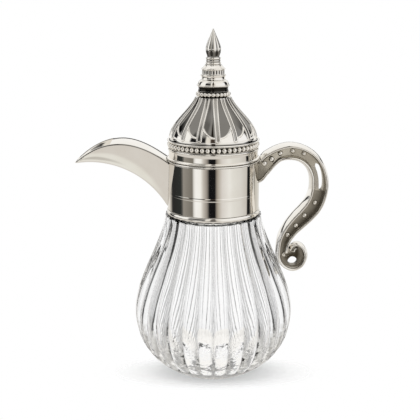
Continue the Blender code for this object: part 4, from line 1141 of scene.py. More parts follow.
def bar_quarter(half, side, recess):
    """A quarter of the I-section, as (across the depth, across the width)."""
    rim, draft = bar_web(half, recess)
    edge = min(HANDLE_EDGE, 0.5 * rim)
    quarter = []
    for step in range(6):
        across = (side - edge) * step / 6
        quarter.append((half + HANDLE_CROWN * (1.0 - (across / (side - edge)) ** 2), across))
    for step in range(5):
        angle = 0.5 * math.pi * step / 4
        quarter.append((half - edge + edge * math.cos(angle), side - edge + edge * math.sin(angle)))
    for step in range(1, 5):
        angle = 0.5 * math.pi * step / 4
        quarter.append((half - rim + edge - edge * math.sin(angle), side - edge + edge * math.cos(angle)))
    foot = half - rim - draft
    quarter += [(half - rim - 0.5 * draft, side - 0.8 * recess), (foot, side - recess),
                (foot - min(WEB_LINE, 0.3 * foot), side - recess), (0.5 * foot, side - recess)]
    return quarter


def handle_loop(point, across, recess, width=HANDLE_WIDTH, size=1.0, open_share=0.0):
    """The bar's outline at a point; an open share lowers its inner rim towards the web."""
    x, z, depth = point
    side = 0.5 * width
    quarter = bar_quarter(0.5 * depth, side, recess)
    limit = side - recess * open_share
    lowered = [(u, v if v < limit else limit + 0.02 * (v - limit)) for u, v in quarter]
    near = lowered + [(-u, v) for u, v in reversed(quarter)]
    outline = near + [(u, -v) for u, v in reversed(near)][1:-1]
    return [(x + size * u * across[0], size * v, z + size * u * across[1]) for u, v in outline]


def handle_slot(line, material):
    """A cutter along the bar, beside its centre line, with rounded ends."""
    first, last = (round(station * HANDLE_STEPS) for station in SLOT_STATIONS)
    loops = []
    for i, ((x, z, _), across) in enumerate(bar_frames(line)[first:last + 1]):
        share = 2.0 * i / (last - first) - 1.0
        width = SLOT_WIDTH * math.sqrt(max(0.02, 1.0 - share ** 6))
        corners = ((SLOT_OFFSET - 0.5 * width, -1.0), (SLOT_OFFSET - 0.5 * width, 1.0),
                   (SLOT_OFFSET + 0.5 * width, 1.0), (SLOT_OFFSET + 0.5 * width, -1.0))
        loops.append([(x + u * across[0], side * HANDLE_WIDTH, z + u * across[1]) for u, side in corners])
    return loft("slot_cutter", loops, material)


def balls_on(tree, points, radius, segments, rings, scale=(1.0, 1.0, 1.0)):
    """A smooth ball on each point."""
    inputs = {"Segments": segments, "Rings": rings, "Radius": radius}
    ball = add_node(tree, "GeometryNodeMeshUVSphere", inputs)
    inputs = {"Points": points, "Instance": ball.outputs["Mesh"], "Scale": scale}
    placed = add_node(tree, "GeometryNodeInstanceOnPoints", inputs).outputs["Instances"]
    return add_node(tree, "GeometryNodeSetShadeSmooth", {"Geometry": placed}).outputs[0]


def boss_tree():
    """A low dome on each point of a row, on both faces of the web."""
    tree, given = new_tree("handle_bosses", {"Radius": BOSS_RADIUS, "Proud": BOSS_PROUD})
    flattened = number(tree, "DIVIDE", given["Proud"], given["Radius"])
    scale = add_node(tree, "ShaderNodeCombineXYZ", {"X": 1.0, "Y": flattened, "Z": 1.0}).outputs[0]
    return finish_tree(tree, balls_on(tree, given["Geometry"], given["Radius"], 28, 18, scale), given)


def point_object(name, places):
    """Loose points that a tree puts copies on."""
    mesh = bpy.data.meshes.new(name)
    mesh.from_pydata(places, [], [])
    item = bpy.data.objects.new(name, mesh)
    bpy.context.scene.collection.objects.link(item)
    return item


def across_disc(name, place, size, reach, material):
    """A round or oval disc across the handle, from -reach to +reach."""
    shape = bmesh.new()
    bmesh.ops.create_cone(shape, cap_ends=True, segments=48, radius1=1.0, radius2=1.0, depth=2.0)
    bmesh.ops.rotate(shape, verts=shape.verts, matrix=Matrix.Rotation(0.5 * math.pi, 3, "X"))
    bmesh.ops.scale(shape, verts=shape.verts, vec=(size[0], reach, size[1]))
    bmesh.ops.translate(shape, verts=shape.verts, vec=(place[0], 0.0, place[1]))
    return new_object(name, shape, material)


def scroll_eye(material):
    return across_disc("scroll_eye", SCROLL_EYE_PLACE, SCROLL_EYE_SIZE, HANDLE_WIDTH, material)


def add_shell(item, part):
    """Put a closed part that reaches into a piece in the same mesh."""
    shape = bmesh.new()
    shape.from_mesh(item.data)
    shape.from_mesh(part.data)
    shape.to_mesh(item.data)
    shape.free()
    bpy.data.objects.remove(part)


cast = cast_nickel()
centre_line = handle_line()
frames = bar_frames(centre_line)
upright = Vector((0.0, 1.0))
handle_loops = []
web_levels = []
for i, (point, across) in enumerate(frames):
    from_collar = max(0.0, point[0] - COLLAR_RADIUS) / HANDLE_ROOT_BLEND
    turn = min(1.0, from_collar) if i < len(frames) // 2 else 1.0
    across = upright.lerp(across, turn).normalized()
    station = i / HANDLE_STEPS
    taper = max(0.0, station - HANDLE_TAPER_FROM) / (len(HANDLE_LINE_MM) - 1.0 - HANDLE_TAPER_FROM)
    width = HANDLE_WIDTH + (HANDLE_END_WIDTH - HANDLE_WIDTH) * taper
    deepened = min(1.0, max(0.0, station - HANDLE_DEEP_FROM) / (HANDLE_DEEP_BY - HANDLE_DEEP_FROM))
    recess = HANDLE_RECESS + (HANDLE_DEEP_RECESS - HANDLE_RECESS) * deepened
    recess = min(recess, 0.5 * width - SCROLL_LEVEL) * min(1.0, (len(frames) - 1 - i) / HANDLE_END_ROWS)
    opened = ease(station - SCROLL_FROM, 1.2) * ease(SCROLL_TO - station, 1.0)
    handle_loops.append(handle_loop(point, across, recess, width, 1.0, opened))
    web_levels.append(0.5 * width - recess)
end_point, end_across = frames[-1]
end_half = 0.5 * end_point[2] + HANDLE_CROWN
for step in range(1, 6):
    angle = 0.5 * math.pi * step / 6
    forward = end_half * math.sin(angle) * 0.6
    moved = (end_point[0] + end_across.y * forward, end_point[1] - end_across.x * forward, end_point[2])
    handle_loops.append(handle_loop(moved, end_across, 0.0, HANDLE_END_WIDTH, math.cos(angle) ** 0.5))
handle = loft("handle_bar", handle_loops, cast)
cut_away(handle, collar_cutter(cast), handle_slot(centre_line, cast), scroll_eye(cast), *screw_holes(cast))
line_middle = [Vector((x, z)) for x, z, _ in centre_line]


def nearest_station(x, z):
    """Number of the centre line's point that lies nearest."""
    here = Vector((x, z))
    return min(range(len(line_middle)), key=lambda i: (line_middle[i] - here).length_squared)


boss_points = []
for out, up in BOSS_PLACES_MM:
    x = COLLAR_RADIUS + out * MM
    z = COLLAR_TOP + up * MM
    level = web_levels[nearest_station(x, z)]
    boss_points += [(x, -level, z), (x, level, z)]
bosses = grow(point_object("bosses", boss_points), boss_tree(),
              {"Radius": BOSS_RADIUS, "Proud": BOSS_PROUD, "Material": cast})
combine(handle, "UNION", [bosses])
scroll_plate = across_disc("scroll_plate", SCROLL_PLATE_PLACE, (SCROLL_PLATE_RADIUS,) * 2,
                           SCROLL_PLATE_HALF, cast)
add_shell(handle, cut_away(scroll_plate, scroll_eye(cast)))
shade_mesh(handle.data)


def on_web(place):
    """Nought on rims and outer sides, one on the sunk web, up to two where painted shade darkens it:
    towards the root, down the lower limb, on the scroll plate's edge, round the feet of the bosses and in
    its corners.
    """
    near = nearest_station(place.x, place.z)
    flat = Vector((place.x, place.z))
    away = (line_middle[near] - flat).length
    level = web_levels[near]
    height = abs(place.y) - level
    half = 0.5 * centre_line[near][2]
    outwards = (flat - line_middle[near]).dot(frames[near][1])
    station = near / HANDLE_STEPS
    # Painted shade towards the root, and down the lower limb, darker on its outer side.
    web = 1.0 if station > HANDLE_DEEP_BY else ROOT_WEB_SHADE
    web += ROOT_SHADE * ease(ROOT_SHADE_END - station, ROOT_SHADE_END - 1.0)
    if station > LOW_LIMB_FROM:
        web = LOW_LIMB_SHADE + LOW_LIMB_LEAN * outwards / half
    elif station > SLOT_STATIONS[0] and outwards < SLOT_OFFSET - 0.5 * SLOT_WIDTH + 0.2 * MM:
        web = SLOT_SIDE_DARK
    on_plate = (flat - Vector(SCROLL_PLATE_PLACE)).length < SCROLL_PLATE_RADIUS - 0.2 * MM
    # Painted shade on the edge of the scroll plate.
    if on_plate and abs(place.y) < SCROLL_LEVEL + 0.3 * MM:
        return web if abs(place.y) > SCROLL_PLATE_HALF - 0.1 * MM else PLATE_EDGE_SHADE
    rim, draft = bar_web(half, 0.5 * HANDLE_WIDTH - level)
    opened = SCROLL_FROM + 0.6 < station < SCROLL_TO - 0.4 and outwards > 0.0
    if opened and height < 0.5 * MM:
        return web
    if away > half - rim + 0.15 * MM:
        return 0.0
    # Painted shadow round the foot of each boss; its top keeps the bright plate.
    if height > 0.05 * MM and away < half - rim - 0.2 * MM:
        return 0.0 if height > BOSS_DARK_SHARE * BOSS_PROUD else BOSS_FOOT_SHADOW
    # Painted shade in the corners where the web meets its walls.
    if height < -0.05 * MM or away > half - rim - draft - 0.15 * MM:
        return CORNER_SHADE
    return web


add_point_value(handle, "web", on_web)
stand_for(handle, "handle", "jug")

# Two steel screws hold the handle from inside the collar. Their low round heads are slotted and
# sit in the liner.
SCREW_SLOT_WIDTH = 0.7 * MM
SCREW_SLOT_DEPTH = 0.7 * MM
SCREW_HEAD_HEIGHT = 1.5 * MM
SCREW_LENGTH = 7.0 * MM
SCREW_PITCH = 0.5 * MM
SCREW_THREAD = 0.12 * MM
STEEL_COLOURS = ((0.55, 0.55, 0.54), (0.66, 0.66, 0.65))
STEEL_PATCHES = (300.0, 3.0)
STEEL_RINGS = (1500.0, 2.0, (0.2, 0.2, 1.0))
STEEL_RING_DEPTH = 0.01 * MM
STEEL_ROUGHNESS = (0.22, 0.38)


def machined_steel():
    """Stainless steel with the fine rings that the cutting tool leaves."""
    material, tree = new_material("machined_steel")
    colour = clouded(tree, noise(tree, *STEEL_PATCHES), *STEEL_COLOURS)
    rings = noise(tree, *STEEL_RINGS)
    shade(tree, {"Metallic": 1.0, "Base Color": colour, "Normal": bump(tree, rings, STEEL_RING_DEPTH),
                 "Roughness": stretched(tree, rings, *STEEL_ROUGHNESS)})
    return material


def thread(outer, pitch, depth, foot, top):
    """Relief of a screw thread between two heights, on the part at the outer radius."""
    def relief(radius, height, angle):
        if radius < outer - 0.5 * depth or not foot < height < top:
            return radius
        wave = 0.5 + 0.5 * math.cos(FULL_TURN * height / pitch - angle)
        return radius - depth * wave
    return relief


def threaded_side(radius, foot, top, pitch):
    """Points up a threaded side, six to each turn of the thread."""
    steps = max(1, round(6.0 * (top - foot) / pitch))
    return [(radius, foot + (top - foot) * step / steps) for step in range(steps + 1)]


def slot_cutter(seat, material):
    size = (4.0 * SCREW_HEAD_RADIUS, SCREW_SLOT_WIDTH, 2.0 * SCREW_SLOT_DEPTH)
    return block("slot_cutter", size, (0.0, 0.0, seat - SCREW_HEAD_HEIGHT), material)


steel = machined_steel()
seat = COLLAR_BORE - SCREW_ROOM
head = curve((0.0, seat - SCREW_HEAD_HEIGHT), (0.8 * SCREW_HEAD_RADIUS, seat - SCREW_HEAD_HEIGHT),
             (SCREW_HEAD_RADIUS, seat - 0.9 * SCREW_HEAD_HEIGHT), (SCREW_HEAD_RADIUS, seat - 0.4 * MM), 8)
shank_end = seat + SCREW_LENGTH
screw_outline = head + [(SCREW_HEAD_RADIUS, seat)]
screw_outline += threaded_side(SCREW_RADIUS, seat, shank_end, SCREW_PITCH) + [(0.0, shank_end)]
screw_thread = thread(SCREW_RADIUS, SCREW_PITCH, SCREW_THREAD, seat + 1.0 * MM, shank_end - 0.2 * MM)
for node, name, angle in (("handle_screw_near", "near_screw", -SCREW_ANGLE),
                          ("handle_screw_far", "far_screw", SCREW_ANGLE)):
    screw = lathe(name, screw_outline, 32, steel, screw_thread)
    cut_away(screw, slot_cutter(seat, steel))
    lay_outwards(screw, angle, SCREW_HEIGHT)
    stand_for(screw, node, "jug")

# The lid's plug is a white plastic cup that drops into the collar. A soft ring in its groove
# holds the lid while the jug pours.
PLUG_RADIUS = 35.6 * MM
PLUG_FLOOR = 2.0 * MM
PLUG_BOSS_RADIUS = 5.5 * MM
PLUG_SHOULDER_FOOT = 192.0 * MM
SEAL_GROOVE = 34.5 * MM
SEAL_ROOM = 0.3 * MM
STUD_BORE = 2.3 * MM

low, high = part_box("lid_plug")
seal_low, seal_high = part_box("lid_seal")
groove_foot = seal_low.z - SEAL_ROOM
groove_top = seal_high.z + SEAL_ROOM
plug_inside = SEAL_GROOVE - 1.0 * MM
plug_outline = [(STUD_BORE, low.z), (PLUG_RADIUS, low.z), (PLUG_RADIUS, groove_foot),
                (SEAL_GROOVE, groove_foot), (SEAL_GROOVE, groove_top), (PLUG_RADIUS, groove_top),
                (PLUG_RADIUS, PLUG_SHOULDER_FOOT),
                (high.x, PLUG_SHOULDER_FOOT), (high.x, high.z), (plug_inside, high.z),
                (plug_inside, low.z + PLUG_FLOOR), (PLUG_BOSS_RADIUS, low.z + PLUG_FLOOR),
                (PLUG_BOSS_RADIUS, high.z), (STUD_BORE, high.z)]
turned_for("lid_plug", "plug", plug_outline, plastic, "lid", 0.4 * MM)
seal_outline = ring_outline("lid_seal", PLUG_RADIUS - SEAL_ROOM, SEAL_GROOVE + SEAL_ROOM)
turned_for("lid_seal", "plug_ring", seal_outline, silicone, "lid", 0.2 * MM)

# The skirt is spun from sheet: a rolled foot that rests on the collar's ring, an upright band,
# a cove under the bead band and a shelf turned inwards.
SKIRT_RADIUS = 38.0 * MM
SKIRT_WALL = 1.2 * MM
SKIRT_FOOT_HEIGHT = 2.2 * MM
SKIRT_COVE = 4.2 * MM
SKIRT_TOP_RING = 1.2 * MM
SKIRT_TOP_RADIUS = 38.8 * MM
SHELF_RADIUS = 33.0 * MM
SHELF_THICKNESS = 1.3 * MM

low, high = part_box("lid_skirt")
foot_top = low.z + SKIRT_FOOT_HEIGHT
ring_foot = high.z - SKIRT_TOP_RING
skirt_inside = SKIRT_RADIUS - SKIRT_WALL
skirt_outline = [(skirt_inside, low.z)] + half_round(SKIRT_RADIUS, high.x, low.z, foot_top)
skirt_outline += [(SKIRT_RADIUS, foot_top + 0.1 * MM), (SKIRT_RADIUS, ring_foot - SKIRT_COVE)]
skirt_outline += curve((SKIRT_RADIUS, ring_foot - SKIRT_COVE), (SKIRT_RADIUS, ring_foot - 0.4 * SKIRT_COVE),
                       (SKIRT_RADIUS + 0.2 * MM, ring_foot), (SKIRT_TOP_RADIUS - 0.1 * MM, ring_foot),
                       10)[1:]
skirt_outline += half_round(SKIRT_TOP_RADIUS - 0.4 * MM, SKIRT_TOP_RADIUS, ring_foot, high.z, 6)
skirt_outline += [(SHELF_RADIUS, high.z), (SHELF_RADIUS, high.z - SHELF_THICKNESS),
                  (skirt_inside, high.z - SHELF_THICKNESS)]
plated("lid_skirt", "skirt", skirt_outline, "lid")

# A band of cast beads runs round the lid between two thin rings, like a string of pearls.
BEAD_COUNT = 52
BEAD_RADIUS = 1.98 * MM
BEAD_BAND_RADIUS = 39.3 * MM
BEAD_SINK = 2.3 * MM
BAND_EDGE = 1.1 * MM
# Patina and painted shade between the beads fade out over this depth.
BAND_DARK_DEPTH = 0.8 * MM


def bead_tree():
    """Round beads on a ring, joined to the band that comes in."""
    tree, given = new_tree("bead_row", {"Count": BEAD_COUNT, "Ring Radius": BEAD_BAND_RADIUS, "Height": 0.0,
                                        "Bead Radius": BEAD_RADIUS})
    ring = add_node(tree, "GeometryNodeMeshCircle", {"Vertices": given["Count"],
                                                     "Radius": given["Ring Radius"]})
    lift = add_node(tree, "ShaderNodeCombineXYZ", {"Z": given["Height"]}).outputs[0]
    raised = add_node(tree, "GeometryNodeSetPosition", {"Geometry": ring.outputs["Mesh"], "Offset": lift})
    row = balls_on(tree, raised.outputs[0], given["Bead Radius"], 20, 14)
    join = add_node(tree, "GeometryNodeJoinGeometry", {"Geometry": given["Geometry"]})
    set_inputs(tree, join, {"Geometry": row})
    return finish_tree(tree, join.outputs[0], given)


def string_beads(item, count, radius, outer, height):
    """Lay a row of beads round a ring piece, out to a radius."""
    grow(item, beads, {"Count": count, "Ring Radius": outer - radius, "Height": height,
                       "Bead Radius": radius, "Material": nickel})


beads = bead_tree()
low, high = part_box("lid_bead_band")
band_core = BEAD_BAND_RADIUS - BEAD_SINK


def band_patina_and_shade(place):
    """Patina and painted shade darken the ground between the beads; the two edges stay bright."""
    return max(0.0, min(1.0, 1.0 - (math.hypot(place.x, place.y) - band_core) / BAND_DARK_DEPTH))


band_edge = band_core + BAND_EDGE
band_outline = [(SHELF_RADIUS, low.z), (band_edge, low.z), (band_edge, low.z + 0.25 * MM),
                (band_core, low.z + 0.9 * MM), (band_core, high.z - 0.9 * MM),
                (band_edge, high.z - 0.25 * MM), (band_edge, high.z), (SHELF_RADIUS, high.z)]
bead_band = plated("lid_bead_band", "bead_band", band_outline, "lid", 0.15 * MM)
add_point_value(bead_band, "patina_and_shade", band_patina_and_shade)
string_beads(bead_band, BEAD_COUNT, BEAD_RADIUS, BEAD_BAND_RADIUS, 0.5 * (low.z + high.z))

dome_ring_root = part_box("lid_dome_ring")[1].x - 0.6 * MM
plated("lid_dome_ring", "dome_ring", ring_outline("lid_dome_ring", dome_ring_root, SHELF_RADIUS), "lid")

# The dome is a hollow casting. Pairs of thin ribs, closed below in a round foot, divide it into
# fifteen sunk panels with pointed ends, over a smooth band at its foot.
DOME_RADIUS = 37.8 * MM
DOME_TOP_RADIUS = 15.2 * MM
DOME_SIDE_RISE = 12.9 * MM
DOME_TOP_LEAN = 5.3 * MM
DOME_TOP_SWEEP = 11.7 * MM
DOME_WALL = 1.6 * MM
DOME_PANELS = 15
DOME_TURN = math.radians(11.6)
DOME_LOW_ROWS = 50
DOME_HIGH_ROWS = 56
DOME_LOW_SHARE = 0.30
GROOVE_COLUMNS = 4
WIRE_COLUMNS = 10
PANEL_COLUMNS = 8
DOME_GROUND = 0.6 * MM
RIB_SPREAD = 1.6 * MM
RIB_HALF = 0.95 * MM
RIB_FOOT = 1.3 * MM
PANEL_SUNK = 0.3 * MM
PANEL_LOW = 5.6 * MM
PANEL_HIGH = 13.5 * MM
PANEL_RISE_POWER = 1.9
PANEL_EDGE_HALF = 0.6 * MM
PANEL_EDGE_PROUD = 0.5 * MM
PANEL_SOFT = 0.4 * MM
# Patina and painted shade in the sunk panels, the grooves between wires and the corner at the foot; the
# wires stay bright.
PANEL_PATINA_AND_SHADE = 0.765
PANEL_SHADE_FADE = 0.3 * MM
GROOVE_PATINA_AND_SHADE = 0.55
GROOVE_SHADE_FADE = 0.5 * MM
WIRE_UNSHADED = 0.62
WIRE_FADE = 0.35
FOOT_PATINA_AND_SHADE = 0.9
FOOT_SHADE_RISE = 1.2 * MM
DOME_TOP_FADE = 1.5 * MM

dome_low, dome_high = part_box("lid_dome")
dome_side = curve((DOME_RADIUS, dome_low.z), (DOME_RADIUS, dome_low.z + DOME_SIDE_RISE),
                  (DOME_TOP_RADIUS + DOME_TOP_LEAN, dome_high.z - DOME_TOP_SWEEP),
                  (DOME_TOP_RADIUS, dome_high.z), 200)
dome_radii = [(height, radius) for radius, height in dome_side]
dome_lengths = [(dome_low.z, 0.0)]
for near, far in zip(dome_side, dome_side[1:]):
    dome_lengths.append((far[1], dome_lengths[-1][1] + math.dist(near, far)))
dome_length = dome_lengths[-1][1]


def rib_measures(radius):
    """Half pitch, half spread and half width of a rib's two wires at a radius."""
    half_pitch = math.pi / DOME_PANELS * radius
    spread = min(RIB_SPREAD, 0.5 * half_pitch)
    return half_pitch, spread, min(RIB_HALF, 0.5 * spread)


def dome_column(radius, side):
    """Columns of the mesh follow the wires, so that these stay smooth from foot to top."""
    reach = max(radius, DOME_TOP_RADIUS)
    half_pitch, spread, half = rib_measures(reach)
    half_columns = GROOVE_COLUMNS + WIRE_COLUMNS + PANEL_COLUMNS
    panel, column = divmod(side, 2 * half_columns)
    column -= half_columns
    step = abs(column)
    if step <= GROOVE_COLUMNS:
        offset = (spread - half) * step / GROOVE_COLUMNS
    elif step <= GROOVE_COLUMNS + WIRE_COLUMNS:
        offset = spread - half * math.cos(math.pi * (step - GROOVE_COLUMNS) / WIRE_COLUMNS)
    else:
        share = (step - GROOVE_COLUMNS - WIRE_COLUMNS) / PANEL_COLUMNS
        offset = spread + half + (half_pitch - spread - half) * share
    return DOME_TURN + FULL_TURN * panel / DOME_PANELS + math.copysign(offset, column) / reach


def wire_distance(radius, up, angle):
    """How far a point lies from the middle of the nearest wire, and how far from its rib."""
    half_pitch, spread, half = rib_measures(radius)
    pitch = FULL_TURN / DOME_PANELS
    from_rib = ((angle - DOME_TURN + 0.5 * pitch) % pitch - 0.5 * pitch) * radius
    arc_level = RIB_FOOT + RIB_HALF + spread
    return abs(math.hypot(from_rib, min(0.0, up - arc_level)) - spread), from_rib


def panel_place(radius, up, angle, from_rib):
    """How far a point lies above a panel's slanted bottom edge, and inside its sides."""
    half_pitch, spread, half = rib_measures(radius)
    from_middle = from_rib - math.copysign(half_pitch, from_rib)
    middle = angle - from_middle / radius
    lean = -math.copysign(1.0, math.sin(2.0 * middle))
    panel_half = half_pitch - spread - half
    share = max(0.0, min(1.0, 0.5 + 0.5 * lean * from_middle / panel_half))
    rise = PANEL_HIGH - PANEL_LOW
    outline = PANEL_LOW + rise * share ** PANEL_RISE_POWER
    slope = 0.5 * PANEL_RISE_POWER * rise * share ** (PANEL_RISE_POWER - 1.0) / panel_half
    return (up - outline) / math.hypot(1.0, slope), panel_half + 0.3 * half - abs(from_middle)


def dome_relief(radius, height, angle):
    """Depth of the casting at a point of its outer side, from its wires, panels and edges."""
    if radius < value_at(dome_radii, height) - 0.3 * MM or height > dome_high.z - 0.01 * MM:
        return radius
    up = value_at(dome_lengths, height)
    to_wire, from_rib = wire_distance(radius, up, angle)
    wire = math.sqrt(max(0.0, 1.0 - (to_wire / rib_measures(radius)[2]) ** 2))
    above, beside = panel_place(radius, up, angle, from_rib)
    inside = ease(above, PANEL_SOFT) * ease(beside, PANEL_SOFT)
    edge = math.sqrt(max(0.0, 1.0 - (above / PANEL_EDGE_HALF) ** 2)) if beside > 0.0 else 0.0
    sunk = DOME_GROUND + PANEL_SUNK * inside - PANEL_EDGE_PROUD * edge
    fade = ease(up, RIB_FOOT) * ease(dome_length - up, DOME_TOP_FADE)
    return radius - fade * (sunk * (1.0 - wire))


dome_heights = [(length, height) for height, length in dome_lengths]
row_lengths = [DOME_LOW_SHARE * dome_length * row / DOME_LOW_ROWS for row in range(DOME_LOW_ROWS)]
row_lengths += [dome_length * (DOME_LOW_SHARE + (1.0 - DOME_LOW_SHARE) * row / DOME_HIGH_ROWS)
                for row in range(DOME_HIGH_ROWS + 1)]
dome_rows = [value_at(dome_heights, length) for length in row_lengths]
dome_outline = [(value_at(dome_radii, height), height) for height in dome_rows]
dome_outline += [(STUD_BORE, dome_high.z), (STUD_BORE, dome_high.z - DOME_WALL)]
dome_outline += [(radius - DOME_WALL, height - 0.6 * DOME_WALL) for radius, height in dome_side[-16:16:-16]]
dome_outline += [(DOME_RADIUS - DOME_WALL, dome_low.z)]


def dome_patina_and_shade(place):
    """Patina and painted shade darken the panels, the groove between two wires and the corner at the foot.
    """
    radius = math.hypot(place.x, place.y)
    full = value_at(dome_radii, place.z)
    if radius < full - 1.2 * MM:
        return 0.0
    up = value_at(dome_lengths, place.z)
    angle = math.atan2(place.y, place.x)
    to_wire, from_rib = wire_distance(full, up, angle)
    _, spread, half = rib_measures(full)
    above, beside = panel_place(full, up, angle, from_rib)
    dark = PANEL_PATINA_AND_SHADE * ease(above - 0.7 * PANEL_EDGE_HALF, PANEL_SHADE_FADE)
    if abs(from_rib) < spread:
        dark = GROOVE_PATINA_AND_SHADE * ease(up - RIB_FOOT - RIB_HALF, GROOVE_SHADE_FADE)
    dark *= ease(to_wire - WIRE_UNSHADED * half, WIRE_FADE * half)
    return max(dark, FOOT_PATINA_AND_SHADE - up / FOOT_SHADE_RISE)


dome_columns = 2 * DOME_PANELS * (GROOVE_COLUMNS + WIRE_COLUMNS + PANEL_COLUMNS)
dome = lathe("dome", dome_outline, dome_columns, nickel, dome_relief, dome_column)
add_point_value(dome, "patina_and_shade", dome_patina_and_shade)
stand_for(dome, "lid_dome", "lid")

# The finial is a stack of turned and cast pieces on one stud: a ring of beads, a cup, a spool
# with a lip, a fluted crown, small rings and a bud with eight petals.
FINIAL_SIDES = 96
FINIAL_BEAD_COUNT = 24
FINIAL_BEAD_RADIUS = 1.85 * MM
FINIAL_BEAD_EDGE = 0.9 * MM
FINIAL_BEAD_BEVEL = 0.7 * MM
CUP_RADIUS = 13.8 * MM
CUP_FOOT_RADIUS = CUP_RADIUS - 0.9 * MM
CUP_WAIST_RADIUS = CUP_RADIUS - 1.5 * MM
CUP_ROOT_RADIUS = CUP_RADIUS - 0.7 * MM
CUP_BAND = 4.4 * MM
CUP_TOP_RADIUS = 10.7 * MM
SPOOL_RADIUS = 10.1 * MM
SPOOL_WAIST = 9.9 * MM
SPOOL_LIP = 1.2 * MM
CROWN_RADIUS = 9.4 * MM
CROWN_BAND = 3.8 * MM
CROWN_LIP = 1.2 * MM
CROWN_TOP_RADIUS = 7.1 * MM
CROWN_FLUTES = 22
CROWN_FLUTE_DEPTH = 0.55 * MM
RINGS_WAIST = 5.5 * MM
BUD_FOOT_RADIUS = 5.0 * MM
BUD_WIDEST = 5.6 * MM
BUD_FULLNESS = 4.6 * MM
BUD_POINT_LENGTH = 7.0 * MM
BUD_POINT_RADIUS = 3.0 * MM
BUD_TIP_RADIUS = 0.5 * MM
BUD_PETALS = 8
BUD_PETAL_DEPTH = 0.6 * MM
BUD_PETAL_TURN = math.radians(8.0)
BUD_PETAL_SHARPNESS = 1.5
# Painted shade towards the bud's foot, and patina with painted shade in its grooves.
BUD_DARK_FOOT = 6.2 * MM
BUD_FOOT_FADE = 3.0 * MM
BUD_DARK = 0.80
BUD_DARKEST = 0.98
# Patina and painted shade between the finial's beads and in the grooves of crown and rings.
BEAD_GROUND_DARK = 0.85
GROOVE_DARKEST = 0.9
STUD_IN_BUD = 6.3 * MM


def stacked(node, name, outer, soft=0.0, relief=None, sides=FINIAL_SIDES):
    """A plated piece of the stack, whose outer outline is closed with the bore for the stud."""
    foot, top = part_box(node)
    return plated(node, name, outer + [(STUD_BORE, top.z), (STUD_BORE, foot.z)], "lid", soft, relief, sides)


def wave(count, angle):
    """Nought at a crown, one in the groove beside it, count times round."""
    return 1.0 - abs(math.cos(0.5 * count * angle))


low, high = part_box("finial_bead_ring")
bead_core = high.x - 1.7 * FINIAL_BEAD_RADIUS
core_outline = [(bead_core + FINIAL_BEAD_EDGE, low.z), (bead_core, low.z + FINIAL_BEAD_BEVEL),
                (bead_core, high.z - FINIAL_BEAD_BEVEL), (bead_core + FINIAL_BEAD_EDGE, high.z)]
bead_ring = stacked("finial_bead_ring", "bead_ring", core_outline, 0.2 * MM)
# Patina and painted shade on the ground between the beads.
add_point_value(bead_ring, "patina_and_shade",
                lambda place: BEAD_GROUND_DARK if place.xy.length > STUD_BORE + 1.0 * MM else 0.0)
string_beads(bead_ring, FINIAL_BEAD_COUNT, FINIAL_BEAD_RADIUS, high.x, 0.5 * (low.z + high.z))

low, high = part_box("finial_cup")
band_top = low.z + CUP_BAND
rib_foot = band_top - 0.4 * MM
rib_top = band_top + 1.0 * MM
cup_outline = [(CUP_FOOT_RADIUS, low.z)]
cup_outline += curve((CUP_FOOT_RADIUS, low.z + 0.2 * MM), (CUP_WAIST_RADIUS, low.z + 1.2 * MM),
                     (CUP_WAIST_RADIUS, band_top - 1.2 * MM), (CUP_ROOT_RADIUS, rib_foot), 8)
cup_outline += half_round(CUP_ROOT_RADIUS, CUP_RADIUS, rib_foot, rib_top, 8)[1:]
cup_outline += curve((CUP_ROOT_RADIUS, rib_top), (CUP_RADIUS - 1.0 * MM, band_top + 2.2 * MM),
                     (CUP_TOP_RADIUS + 1.6 * MM, high.z - 0.6 * MM), (CUP_TOP_RADIUS, high.z), 12)[1:]
cup = stacked("finial_cup", "cup", cup_outline)
# Patina and painted shade over the cup's sunk band.
dark_foot = low.z + 0.1 * MM
dark_top = band_top - 0.5 * MM
add_point_value(cup, "patina_and_shade", lambda place: 1.0 if dark_foot < place.z < dark_top else 0.0)

low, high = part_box("finial_spool")
lip_foot = high.z - SPOOL_LIP
spool_outline = curve((SPOOL_RADIUS, low.z), (SPOOL_WAIST, low.z + 0.8 * MM),
                      (SPOOL_WAIST, lip_foot - 0.8 * MM), (SPOOL_RADIUS, lip_foot), 12)
spool_outline += half_round(SPOOL_RADIUS, high.x, lip_foot, high.z, 8)[1:]
stacked("finial_spool", "spool", spool_outline)

low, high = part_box("finial_crown")
flute_low = low.z
flute_top = low.z + CROWN_BAND
crown_lip_radius = high.x
crown_outline = [(CROWN_RADIUS, low.z)]
crown_outline += [(CROWN_RADIUS, low.z + (0.3 + 0.4 * i) * MM) for i in range(9)]
crown_outline += half_round(CROWN_RADIUS, crown_lip_radius, flute_top, flute_top + CROWN_LIP, 8)
cone_foot = flute_top + CROWN_LIP
crown_outline += curve((CROWN_RADIUS, cone_foot), (CROWN_RADIUS - 0.7 * MM, cone_foot + 0.9 * MM),
                       (CROWN_TOP_RADIUS + 0.5 * MM, high.z - 1.0 * MM), (CROWN_TOP_RADIUS, high.z), 10)[1:]


def crown_relief(radius, height, angle):
    """Flutes that fade out at both edges of their band."""
    if radius < CROWN_RADIUS - 0.1 * MM or height > flute_top - 0.05 * MM:
        return radius
    fade = ease(height - flute_low, 0.6 * MM) * ease(flute_top - height, 0.6 * MM)
    return radius - CROWN_FLUTE_DEPTH * fade * wave(CROWN_FLUTES, angle)


crown = stacked("finial_crown", "crown", crown_outline, 0.0, crown_relief, CROWN_FLUTES * 8)


def groove_patina_and_shade(crest, depth, foot, top):
    """Rule for dark grooves. Patina and painted shade go from nought at the crest's radius to full at the
    depth.
    """
    def rule(place):
        radius = place.xy.length
        if not foot < place.z < top or radius < crest - 2.0 * depth:
            return 0.0
        return max(0.0, min(GROOVE_DARKEST, (crest - radius) / depth))
    return rule


